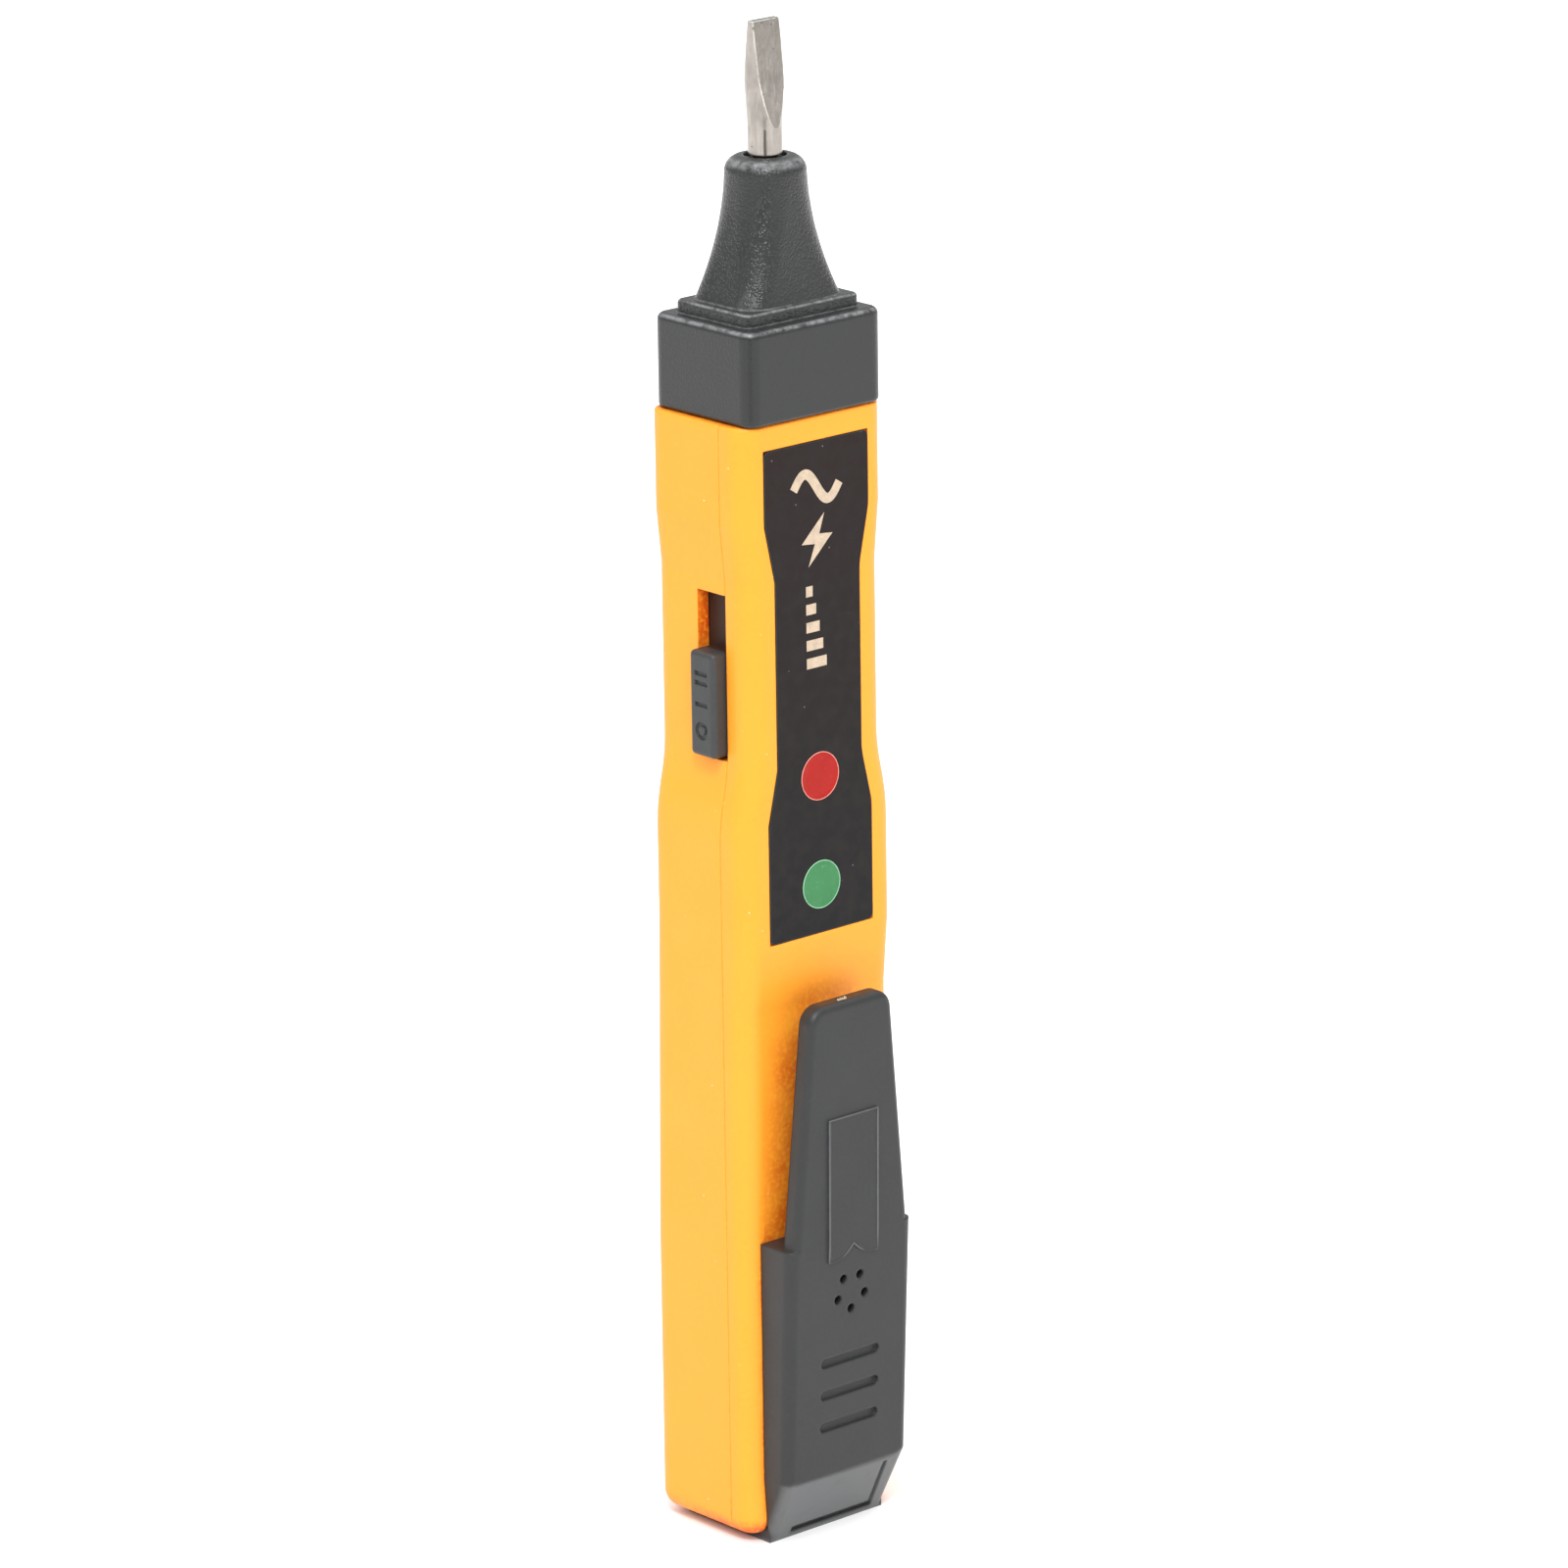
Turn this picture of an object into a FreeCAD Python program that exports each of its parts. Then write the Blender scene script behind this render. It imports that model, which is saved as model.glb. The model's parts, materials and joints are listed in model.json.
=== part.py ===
"""Pen-shaped non-contact voltage tester with a screwdriver blade.

The pen stands on its tail. +Z runs from the tail to the blade tip, -Y is the front with the
label and the clip, and -X is the side with the slide switch. The origin is on the blade's axis
at the flat end of the tail. All sizes are millimetres.
"""
import FreeCAD
import Part
import Sketcher

import math
import os
import re

SIZES = (
    # Case: two shells that meet on a plane parallel to the front.
    ("case_bottom", 0.8, "lower rim of the shells"),
    ("case_top", 120.3, "shoulder under the nose"),
    ("case_front", -7.05, "front face"),
    ("case_back", 8.0, "back face"),
    ("parting", -3.3, "plane where the shells meet"),
    ("dip", 0.65, "how far the front lies back behind the clip"),
    ("dip_low", 58.0, "where the front starts to lean forward"),
    ("dip_high", 65.0, "where it meets the plane of the label"),
    ("swell", 0.8, "how far the back stands out round the battery"),
    ("swell_low", 32.0, "top of the thick part of the back"),
    ("swell_high", 66.0, "where the back is at its thinnest again"),
    ("lower_half", 10.47, "half width of the grip"),
    ("waist_half", 9.26, "half width of the waist"),
    ("upper_half", 9.84, "half width of the head"),
    ("lower_end", 78.3, "top of the grip"),
    ("waist_low", 84.0, "bottom of the waist"),
    ("waist_high", 103.8, "top of the waist"),
    ("upper_start", 109.8, "bottom of the head"),
    ("waist_blend", 20.0, "radius between grip, waist and head"),
    ("case_corner", 2.45, "radius of the long corners"),
    ("case_foot", 2.0, "radius round the lower rim"),
    ("case_brim", 0.35, "radius round the shoulder"),
    ("parting_line", 0.1, "chamfer where the shells meet"),
    ("wall", 1.5, "wall of the shells"),
    ("mouth_half", 8.1, "half width of the battery mouth"),
    ("mouth_top", 3.0, "height of the mouth's thick rim"),
    ("notch_top", 2.75, "height of the gap in the front rim"),
    ("neck_half", 7.6, "half width of the neck inside the nose"),
    ("neck_depth", 5.9, "half depth of the neck"),
    ("neck_wall", 1.2, "wall of the neck"),
    ("neck_top", 126.3, "top of the neck"),
    # Nose: collar, step and flared boot.
    ("collar_half", 9.17, "half width of the collar"),
    ("collar_depth", 7.46, "half depth of the collar"),
    ("collar_corner", 1.5, "corner radius of the collar"),
    ("collar_top", 130.2, "top of the collar"),
    ("step_half", 7.65, "half width of the step"),
    ("step_depth", 5.65, "half depth of the step"),
    ("step_corner", 0.9, "corner radius of the step"),
    ("step_top", 131.6, "top of the step"),
    ("boot_half", 6.7, "half width of the boot's foot"),
    ("boot_depth", 5.15, "half depth of the boot's foot"),
    ("boot_corner", 2.6, "corner radius of the boot's foot"),
    ("boot_top", 146.2, "top of the boot"),
    ("boot_tip", 4.1, "radius of the boot's round end"),
    ("boot_round", 1.7, "rounding of the boot's end"),
    ("soft_edge", 0.45, "rounding of moulded edges"),
    ("nose_gap", 0.05, "joint line under the collar"),
    ("socket_top", 126.6, "top of the socket for the neck"),
    ("mouth_bore", 2.25, "radius of the recess round the blade"),
    ("mouth_depth", 0.6, "depth of the recess round the blade"),
    # Blade.
    ("tip_height", 160.0, "blade tip"),
    ("shaft", 1.78, "radius of the bare shaft"),
    ("tang", 1.3, "radius of the tang in the nose"),
    ("tang_top", 146.3, "shoulder between the tang and the bare shaft"),
    ("shaft_bottom", 121.5, "inner end of the shaft"),
    ("flange", 2.6, "radius of the flange that holds the blade"),
    ("flange_low", 127.6, "bottom of the flange"),
    ("flange_high", 129.0, "top of the flange"),
    ("flare_start", 149.0, "where the shaft starts to widen"),
    ("flare", 2.04, "half width at the widest"),
    ("flare_height", 153.8, "height of the widest point"),
    ("tip_half", 1.8, "half width of the tip"),
    ("flat_start", 149.0, "where the flats leave the shaft"),
    ("tip_thick", 0.3, "half thickness of the tip"),
    ("fit", 0.06, "clearance of close fits"),
    # Label and lights.
    ("label_bottom", 65.6, "lower edge of the label"),
    ("label_top", 117.6, "upper edge of the label"),
    ("label_half", 7.0, "half width of the label"),
    ("label_waist", 5.7, "half width of the label at the waist"),
    ("label_thick", 0.3, "thickness of the label"),
    ("label_corner", 0.6, "corner radius of the label"),
    ("label_proud", 0.03, "how far the label stands out"),
    ("label_gap", 0.12, "gap round the label"),
    ("red_height", 82.3, "centre of the red light"),
    ("green_height", 70.7, "centre of the green light"),
    ("lens", 2.5, "radius of a light's lens"),
    ("lens_flange", 3.2, "radius of the lens flange"),
    ("lens_back", -5.0, "back of the lens"),
    # Circuit board and what it carries.
    ("board_half", 6.6, "half width of the board"),
    ("board_front", -4.2, "front of the board"),
    ("board_back", -3.2, "back of the board"),
    ("board_bottom", 38.0, "lower edge of the board"),
    ("board_top", 118.0, "upper edge of the board"),
    ("boss", 1.8, "radius of a screw boss"),
    ("pilot", 0.7, "radius of a screw hole"),
    ("boss_across", 4.6, "screw boss from the middle"),
    ("boss_low", 43.0, "lower screw boss"),
    ("boss_high", 113.5, "upper screw boss"),
    # Slide switch.
    ("slot_low", 84.9, "lower end of the switch slot"),
    ("slot_high", 102.4, "upper end of the switch slot"),
    ("slot_back", 0.95, "rear edge of the switch slot"),
    ("knob_low", 85.3, "lower end of the knob"),
    ("knob_high", 96.4, "upper end of the knob"),
    ("knob_front", -3.15, "front edge of the knob"),
    ("knob_rear", 0.6, "rear edge of the knob"),
    ("knob_out", -10.9, "outer face of the knob"),
    ("knob_round", 0.55, "rounding of the knob"),
    ("mark_deep", 0.22, "depth of the switch marks"),
    ("mark_line", 0.24, "half width of a mark's line"),
    ("mark_reach", 0.95, "half length of a mark's line"),
    ("plate_out", -7.7, "outer face of the slide plate"),
    ("plate_in", -6.95, "inner face of the slide plate"),
    ("plate_low", 78.6, "lower end of the slide plate"),
    ("plate_high", 103.3, "upper end of the slide plate"),
    ("plate_front", -4.0, "front edge of the slide plate"),
    ("plate_rear", 2.2, "rear edge of the slide plate"),
    ("can_out", -6.5, "outer face of the switch can"),
    ("can_in", -2.4, "inner face of the switch can"),
    ("can_rear", 0.8, "rear of the switch can"),
    ("can_low", 87.4, "lower end of the switch can"),
    ("can_high", 100.6, "upper end of the switch can"),
    ("lever_middle", -1.2, "lever's place between front and back"),
    ("lever_half", 0.8, "half depth of the lever"),
    ("lever_low", 90.2, "lower side of the lever"),
    ("lever_high", 92.2, "upper side of the lever"),
    ("lever_out", -8.3, "outer end of the lever"),
    ("lever_in", -5.6, "inner end of the lever"),
    ("switch_travel", 5.6, "travel of the knob"),
    # Battery compartment.
    ("cell", 5.15, "radius of the battery"),
    ("cell_back", 0.9, "battery axis behind the blade axis"),
    ("cell_low", 6.0, "bottom of the battery"),
    ("cell_shoulder", 33.9, "shoulder of the battery"),
    ("cell_top", 34.5, "top of the battery's button"),
    ("cell_button", 1.75, "radius of the battery's button"),
    ("cell_room", 5.3, "radius of the compartment"),
    ("bulkhead_low", 35.1, "bottom of the bulkhead"),
    ("bulkhead_high", 36.4, "top of the bulkhead"),
    ("rib_thick", 1.2, "thickness of a cradle rib"),
    ("rib_first", 12.0, "lowest cradle rib"),
    ("rib_pitch", 9.0, "distance between cradle ribs"),
    ("strip_half", 1.5, "half width of the contact strip"),
    ("strip_front", 6.24, "front of the contact strip"),
    ("strip_low", 4.0, "lower end of the contact strip"),
    ("strip_high", 39.0, "upper end of the contact strip"),
    ("sheet_metal", 0.25, "thickness of the contacts"),
    # Battery door with its clip.
    ("door_half", 8.56, "half width of the door"),
    ("tail_half", 8.1, "half width of the tail"),
    ("door_top", 33.4, "top of the door"),
    ("door_back", -6.48, "back of the door on the case"),
    ("door_face_top", -11.2, "front of the door at its top"),
    ("bevel_top", 7.4, "where the tail's bevel starts"),
    ("bevel_front", -10.0, "front of the door there"),
    ("tail_front", -6.43, "front edge of the flat tail"),
    ("plug_high", 2.6, "height of the plug in the mouth"),
    ("plug_rear", 6.35, "rear of the plug"),
    ("plug_half", 7.87, "half width of the plug"),
    ("door_round", 1.2, "rounding of the door's long edges"),
    ("rail_in", 5.7, "inner side of a rail"),
    ("rail_out", 6.8, "outer side of a rail"),
    ("rail_lip", 7.95, "outer side of a rail's lip"),
    ("rail_top", 19.5, "upper end of the rails"),
    ("lip_front", -5.43, "front of a rail's lip"),
    ("lip_back", -4.4, "back of a rail's lip"),
    ("rail_room", 0.12, "clearance of the rails"),
    ("arm_top", 59.2, "free end of the clip"),
    ("arm_front", -11.6, "front of the clip at its free end"),
    ("arm_thick", 1.9, "thickness of the clip"),
    ("arm_root", 7.9, "half width of the clip at its root"),
    ("arm_tip", 5.5, "half width of the clip at its end"),
    ("arm_gap", 0.06, "joint line at the clip's root"),
    ("arm_corner", 2.0, "corner radius of the clip's end"),
    ("nub", 1.1, "radius of the gripping ridge"),
    ("nub_height", 56.2, "height of the gripping ridge"),
    ("ribbon_half", 3.35, "half width of the ribbon panel"),
    ("ribbon_low", 31.2, "lower corners of the ribbon panel"),
    ("ribbon_notch", 32.7, "peak of the notch in the ribbon panel"),
    ("ribbon_high", 46.8, "upper edge of the ribbon panel"),
    ("ribbon_curve", 3.4, "radius of the ribbon's two scallops"),
    ("ribbon_raise", 0.2, "how far the ribbon panel stands out"),
    ("arm_round", 0.8, "rounding of the clip's front edges"),
    ("gate_half", 0.5, "half width of the mould gate's stub on the clip"),
    ("gate_high", 0.22, "height of the mould gate's stub"),
    ("grip_half", 4.05, "half length of a grip slot"),
    ("grip_wide", 0.53, "half width of a grip slot"),
    ("grip_deep", 0.45, "depth of a grip slot"),
    ("grip_low", 12.75, "lowest grip slot"),
    ("grip_pitch", 3.6, "distance between grip slots"),
    ("groove_left", -5.3, "left end of the groove on the bevel"),
    ("groove_right", 6.0, "right side of the groove on the bevel"),
    ("groove_low", 0.75, "lower side of the groove on the bevel"),
    ("groove_high", 6.5, "upper end of the groove on the bevel"),
    ("groove_wide", 0.62, "width of the groove on the bevel"),
    ("groove_deep", 0.35, "depth of the groove on the bevel"),
    ("sound_height", 27.3, "centre of the sound holes"),
    ("sound_ring", 1.95, "radius of the ring of sound holes"),
    ("sound_hole", 0.5, "radius of a sound hole"),
    ("sound_port", 2.9, "radius of the port behind them"),
    # Sounder.
    ("disc", 5.9, "radius of the sounder's disc"),
    ("disc_front", -5.5, "front of the disc"),
    ("disc_thick", 0.2, "thickness of the disc"),
    ("ceramic", 4.4, "radius of the sounder's ceramic"),
    ("lead", 0.3, "radius of a lead"),
)

SOUND_HOLES = 5
GRIP_SLOTS = 3
CRADLE_RIBS = 3
BOOT_SECTIONS = 6
PAST = 1.0

doc = FreeCAD.newDocument("voltage_tester")
sheet = doc.addObject("Spreadsheet::Sheet", "Sizes")
nodes = []


def fill_sheet():
    """One row per driving size: its name, its value and what it is."""
    for row, (alias, size, meaning) in enumerate(SIZES, start=1):
        sheet.set(f"A{row}", alias)
        sheet.set(f"B{row}", str(size))
        sheet.setAlias(f"B{row}", alias)
        sheet.set(f"C{row}", meaning)
    doc.recompute()


def formula(text):
    """Turn names of sizes into references to the sheet."""
    return re.sub(r"[a-z][a-z_]*", r"Sizes.\g<0>", str(text))


def size(text):
    """Value of a formula in millimetres."""
    return float(sheet.evalExpression(formula(text)))


def bind(item, prop, text):
    item.setExpression(prop, formula(text))


# Sketches and features -------------------------------------------------------------------------

def new_body(label):
    body = doc.addObject("PartDesign::Body", label)
    body.Label = label
    nodes.append(body)
    return body


def new_sketch(body, plane, at):
    """Sketch on an origin plane of the body, moved to a position along that plane's axis."""
    sketch = body.newObject("Sketcher::SketchObject", f"{body.Name}_sketch")
    support = [item for item in body.Origin.OriginFeatures if item.Role == f"{plane}_Plane"]
    sketch.AttachmentSupport = [(support[0], "")]
    sketch.MapMode = "FlatFace"
    along = f"-({at})" if plane == "XZ" else at
    bind(sketch, "AttachmentOffset.Base.z", along)
    return sketch


def dimension(sketch, kind, references, text):
    index = sketch.addConstraint(Sketcher.Constraint(kind, *references, size(text)))
    bind(sketch, f"Constraints[{index}]", text)


def polygon(points):
    """Closed outline through points whose coordinates are formulas."""
    def draw(sketch):
        corners = [FreeCAD.Vector(size(u), size(v), 0) for u, v in points]
        count = len(corners)
        lines = [sketch.addGeometry(Part.LineSegment(corners[i], corners[(i + 1) % count]))
                 for i in range(count)]
        for i in range(count):
            following = lines[(i + 1) % count]
            sketch.addConstraint(Sketcher.Constraint("Coincident", lines[i], 2, following, 1))
        for line, (u, v) in zip(lines, points):
            dimension(sketch, "DistanceX", (-1, 1, line, 1), u)
            dimension(sketch, "DistanceY", (-1, 1, line, 1), v)
    return draw


def rectangle(u_low, u_high, v_low, v_high):
    return polygon([(u_low, v_low), (u_high, v_low), (u_high, v_high), (u_low, v_high)])


def circle(u, v, radius):
    def draw(sketch):
        centre = FreeCAD.Vector(size(u), size(v), 0)
        index = sketch.addGeometry(Part.Circle(centre, FreeCAD.Vector(0, 0, 1), size(radius)))
        dimension(sketch, "DistanceX", (-1, 1, index, 3), u)
        dimension(sketch, "DistanceY", (-1, 1, index, 3), v)
        dimension(sketch, "Radius", (index,), radius)
    return draw


def several(*drawings):
    def draw(sketch):
        for drawing in drawings:
            drawing(sketch)
    return draw


def rounded(half_u, half_v, radius):
    """Rectangle about the origin with round corners: four lines and four tangent arcs."""
    def draw(sketch):
        flat_u = size(half_u) - size(radius)
        flat_v = size(half_v) - size(radius)
        r = size(radius)
        z_axis = FreeCAD.Vector(0, 0, 1)
        signs = [(1, 1), (-1, 1), (-1, -1), (1, -1)]
        for i, (su, sv) in enumerate(signs):
            centre = FreeCAD.Vector(su * flat_u, sv * flat_v, 0)
            turn = i * math.pi / 2
            arc = Part.ArcOfCircle(Part.Circle(centre, z_axis, r), turn, turn + math.pi / 2)
            sketch.addGeometry(arc)
        for i in range(4):
            start = sketch.Geometry[i].EndPoint
            end = sketch.Geometry[(i + 1) % 4].StartPoint
            sketch.addGeometry(Part.LineSegment(start, end))
        for i in range(4):
            sketch.addConstraint(Sketcher.Constraint("Tangent", i, 2, 4 + i, 1))
            sketch.addConstraint(Sketcher.Constraint("Tangent", 4 + i, 2, (i + 1) % 4, 1))
        for i, (su, sv) in enumerate(signs):
            dimension(sketch, "DistanceX", (-1, 1, i, 3), f"({half_u} - ({radius})) * {su}")
            dimension(sketch, "DistanceY", (-1, 1, i, 3), f"({half_v} - ({radius})) * {sv}")
        dimension(sketch, "Radius", (0,), radius)
    return draw


def check_change(body, before, grows, what):
    doc.recompute()
    change = body.Shape.Volume - before
    if (change > 1e-6) != grows or abs(change) < 1e-6:
        raise RuntimeError(f"{body.Label}: {what} changed the volume by {change:.4f}")


def add(body, plane, low, high, draw):
    """Pad between two positions along the plane's axis."""
    before = body.Shape.Volume if body.Tip else 0.0
    sketch = new_sketch(body, plane, high if plane == "XZ" else low)
    draw(sketch)
    pad = body.newObject("PartDesign::Pad", f"{body.Name}_pad")
    pad.Profile = sketch
    bind(pad, "Length", f"{high} - ({low})")
    check_change(body, before, True, "a pad")
    return pad


def cut(body, plane, low, high, draw):
    """Pocket between two positions along the plane's axis."""
    before = body.Shape.Volume
    sketch = new_sketch(body, plane, low if plane == "XZ" else high)
    draw(sketch)
    pocket = body.newObject("PartDesign::Pocket", f"{body.Name}_pocket")
    pocket.Profile = sketch
    bind(pocket, "Length", f"{high} - ({low})")
    check_change(body, before, False, "a pocket")
    return pocket


def revolve(body, plane, draw):
    """Full turn of a half outline about the sketch's vertical axis."""
    sketch = new_sketch(body, plane, "0")
    draw(sketch)
    turned = body.newObject("PartDesign::Revolution", f"{body.Name}_turn")
    turned.Profile = sketch
    turned.ReferenceAxis = (sketch, ["V_Axis"])
    turned.Angle = 360
    doc.recompute()
    return turned


def ends(edge):
    return edge.Vertexes[0].Point, edge.Vertexes[-1].Point


def soften(body, kind, amount, wanted):
    """Fillet or chamfer the edges of the body for which wanted(start, end) is true."""
    doc.recompute()
    base = body.Tip
    names = [f"Edge{i}" for i, edge in enumerate(base.Shape.Edges, start=1)
             if edge.Vertexes and wanted(*ends(edge))]
    if not names:
        raise RuntimeError(f"{body.Label}: no edge to soften")
    feature = body.newObject(f"PartDesign::{kind}", f"{body.Name}_{kind}")
    feature.Base = (base, names)
    bind(feature, "Radius" if kind == "Fillet" else "Size", amount)
    doc.recompute()
    return feature


def near(value, text, tolerance=1e-3):
    return abs(value - size(text)) < tolerance


def block(label, x, y, z):
    """Plain box between pairs of formulas, as a node of its own."""
    item = doc.addObject("Part::Box", label)
    item.Label = label
    for prop, axis, (low, high) in (("Length", "x", x), ("Width", "y", y), ("Height", "z", z)):
        bind(item, prop, f"{high} - ({low})")
        bind(item, f"Placement.Base.{axis}", low)
    nodes.append(item)
    return item


def group(label, items):
    """Several like solids in one node."""
    for item in items:
        nodes.remove(item)
    compound = doc.addObject("Part::Compound", label)
    compound.Label = label
    compound.Links = items
    nodes.append(compound)
    return compound


# Case ------------------------------------------------------------------------------------------

def case_outline(inset, bottom, top):
    """Front outline of the case with its waist, drawn in by an inset."""
    side = [("lower_half", bottom), ("lower_half", "lower_end"), ("waist_half", "waist_low"),
            ("waist_half", "waist_high"), ("upper_half", "upper_start"), ("upper_half", top)]
    right = [(f"{half} - {inset}", height) for half, height in side]
    left = [(f"{inset} - {half}", height) for half, height in reversed(side)]
    return right + left


def cavity_outline():
    """Hollow of the case, narrower at the mouth."""
    hollow = case_outline("wall", "mouth_top", "case_top - wall")
    rim = [("-mouth_half", "mouth_top"), ("-mouth_half", f"case_bottom - {PAST}"),
           ("mouth_half", f"case_bottom - {PAST}"), ("mouth_half", "mouth_top")]
    return hollow + rim


def across_waist(start, end):
    """Edges across the case where grip, waist and head meet."""
    level = abs(start.z - end.z) < 1e-6 and abs(start.x - end.x) < 1e-6
    return level and size("lower_end") - PAST < start.z < size("upper_start") + PAST


def shell(label, low, high, lean, on_face):
    """Outer form of one shell between two planes, with the waste beside its leaning face cut off."""
    body = new_body(label)
    outline = case_outline("0", "case_bottom", "case_top")
    add(body, "XZ", low, high, polygon(outline))
    soften(body, "Fillet", "waist_blend", across_waist)
    cut(body, "YZ", f"-lower_half - {PAST}", f"lower_half + {PAST}", polygon(lean))
    soften(body, "Fillet", "case_corner",
           lambda a, b: on_face(a) and on_face(b) and abs(a.z - b.z) > 0.05)

    def on_level(height):
        return lambda a, b: (near(a.z, height) and near(b.z, height)
                             and not (near(a.y, "parting") and near(b.y, "parting")))
    soften(body, "Fillet", "case_foot", on_level("case_bottom"))
    soften(body, "Fillet", "case_brim", on_level("case_top"))
    soften(body, "Chamfer", "parting_line",
           lambda a, b: near(a.y, "parting") and near(b.y, "parting"))
    return body


def neck(body, low, high, hollow_low, hollow_high):
    """Half of the neck that plugs into the nose, and the way down into the case."""
    add(body, "XY", "case_top", "neck_top", rectangle("-neck_half", "neck_half", low, high))
    cut(body, "XY", f"case_top - wall - {PAST}", "neck_top",
        rectangle("neck_wall - neck_half", "neck_half - neck_wall", hollow_low, hollow_high))


def label_outline(grow):
    side = [("label_half", f"label_bottom - {grow}"), ("label_half", "lower_end"),
            ("label_waist", "waist_low"), ("label_waist", "waist_high"),
            ("label_half", "upper_start"), ("label_half", f"label_top + {grow}")]
    right = [(f"{half} + {grow}", height) for half, height in side]
    left = [(f"-({half} + {grow})", height) for half, height in reversed(side)]
    return right + left


def boss_places():
    return (("boss_across", "boss_low"), ("-boss_across", "boss_high"))


def front_shell():
    lean = [(f"case_front - {PAST}", f"case_bottom - {PAST}"),
            ("case_front + dip", f"case_bottom - {PAST}"), ("case_front + dip", "dip_low"),
            ("case_front", "dip_high"), (f"case_front - {PAST}", "dip_high")]
    body = shell("front_shell", "case_front", "parting", lean,
                 lambda point: point.y < size("case_front + dip") + 1e-3)
    cut(body, "XZ", "case_front + wall", "parting", polygon(cavity_outline()))
    neck(body, "-neck_depth", "parting", "neck_wall - neck_depth", "parting")
    cut(body, "XZ", "case_front", "case_front + label_thick + label_gap",
        polygon(label_outline("label_gap")))
    for height in ("red_height", "green_height"):
        cut(body, "XZ", "case_front", "case_front + wall", circle("0", height, "lens + fit"))
    cut(body, "XZ", "case_front", "parting",
        rectangle("-mouth_half", "mouth_half", f"case_bottom - {PAST}", "notch_top"))
    slot_end = "rail_top + rail_room"
    cut(body, "XZ", "case_front", "case_front + wall", several(
        rectangle("rail_in - rail_room", "rail_out + rail_room", "case_bottom", slot_end),
        rectangle("-(rail_out + rail_room)", "-(rail_in - rail_room)", "case_bottom", slot_end)))
    cut(body, "XZ", "case_front", "case_front + wall", circle("0", "sound_height", "sound_port"))
    add(body, "XZ", "case_front + wall", "board_front",
        several(*(circle(x, z, "boss") for x, z in boss_places())))
    cut(body, "XZ", "case_front + wall", "board_front",
        several(*(circle(x, z, "pilot") for x, z in boss_places())))
    return body


def rear_shell():
    outside = f"case_back + swell + {PAST}"
    lean = [("case_back + swell", "swell_low"), ("case_back", "swell_high"),
            ("case_back", f"case_top + {PAST}"), (outside, f"case_top + {PAST}"),
            (outside, "swell_low")]
    body = shell("rear_shell", "parting", "case_back + swell", lean,
                 lambda point: point.y > size("case_back") - 1e-3)
    cut(body, "XZ", "parting", "case_back - wall", polygon(cavity_outline()))
    neck(body, "parting", "neck_depth", "parting", "neck_depth - neck_wall")
    cut(body, "YZ", f"-waist_half - {PAST}", "wall - waist_half + 0.5",
        rectangle("parting", "slot_back", "slot_low", "slot_high"))
    side = "lower_half - wall"
    add(body, "XY", "bulkhead_low", "bulkhead_high",
        rectangle(f"-({side})", side, "board_back + 0.5", "strip_front - 0.1"))
    for i in range(CRADLE_RIBS):
        low = f"rib_first + {i} * rib_pitch"
        add(body, "XY", low, f"{low} + rib_thick",
            rectangle(f"-({side})", side, "board_back + 0.5", "case_back - wall"))
    cut(body, "XY", "mouth_top", "bulkhead_low", circle("0", "cell_back", "cell_room"))
    cut(body, "XY", "mouth_top", "bulkhead_low",
        rectangle("-(strip_half + 0.2)", "strip_half + 0.2", "cell_back", "case_back - wall"))
    return body


# Nose and blade --------------------------------------------------------------------------------

def boot_section(share):
    """Half width, half depth and corner radius of the boot at a share of its flare's height."""
    pull = f"{(1 - share) ** 1.9:.5f}"
    radius = f"boot_tip - 0.2 - (boot_tip - 0.2 - boot_corner) * {(1 - share) ** 1.5:.5f}"
    half = f"0.2 + (boot_half - boot_corner - 0.2) * {pull} + {radius}"
    depth = f"0.2 + (boot_depth - boot_corner - 0.2) * {pull} + {radius}"
    return half, depth, radius


def nose_boot():
    body = new_body("nose_boot")
    foot = "case_top + nose_gap"
    add(body, "XY", foot, "collar_top", rounded("collar_half", "collar_depth", "collar_corner"))
    soften(body, "Fillet", "soft_edge * 1.6",
           lambda a, b: near(a.z, "collar_top") and near(b.z, "collar_top"))
    add(body, "XY", "collar_top", "step_top", rounded("step_half", "step_depth", "step_corner"))
    soften(body, "Fillet", "soft_edge",
           lambda a, b: near(a.z, "step_top") and near(b.z, "step_top"))
    sections = []
    for i in range(BOOT_SECTIONS + 1):
        share = i / BOOT_SECTIONS
        height = f"step_top + (boot_top - step_top) * {share:.5f}"
        sketch = new_sketch(body, "XY", height)
        rounded(*boot_section(share))(sketch)
        sections.append(sketch)
    doc.recompute()
    loft = body.newObject("PartDesign::AdditiveLoft", "nose_boot_flare")
    loft.Profile = sections[0]
    loft.Sections = sections[1:]
    doc.recompute()
    soften(body, "Fillet", "boot_round",
           lambda a, b: near(a.z, "boot_top") and near(b.z, "boot_top"))
    cut(body, "XY", foot, "socket_top", rounded("neck_half + fit", "neck_depth + fit", "fit"))
    soften(body, "Fillet", "soft_edge", lambda a, b: (
        near(a.z, foot) and near(b.z, foot)
        and max(abs(a.x), abs(b.x)) > size("neck_half + fit") + 0.5))
    cut(body, "XY", "socket_top", "flange_high + fit", circle("0", "0", "flange + fit"))
    cut(body, "XY", "flange_high", "boot_top", circle("0", "0", "tang + fit"))
    cut(body, "XY", "boot_top - mouth_depth", "boot_top", circle("0", "0", "mouth_bore"))
    return body


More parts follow.
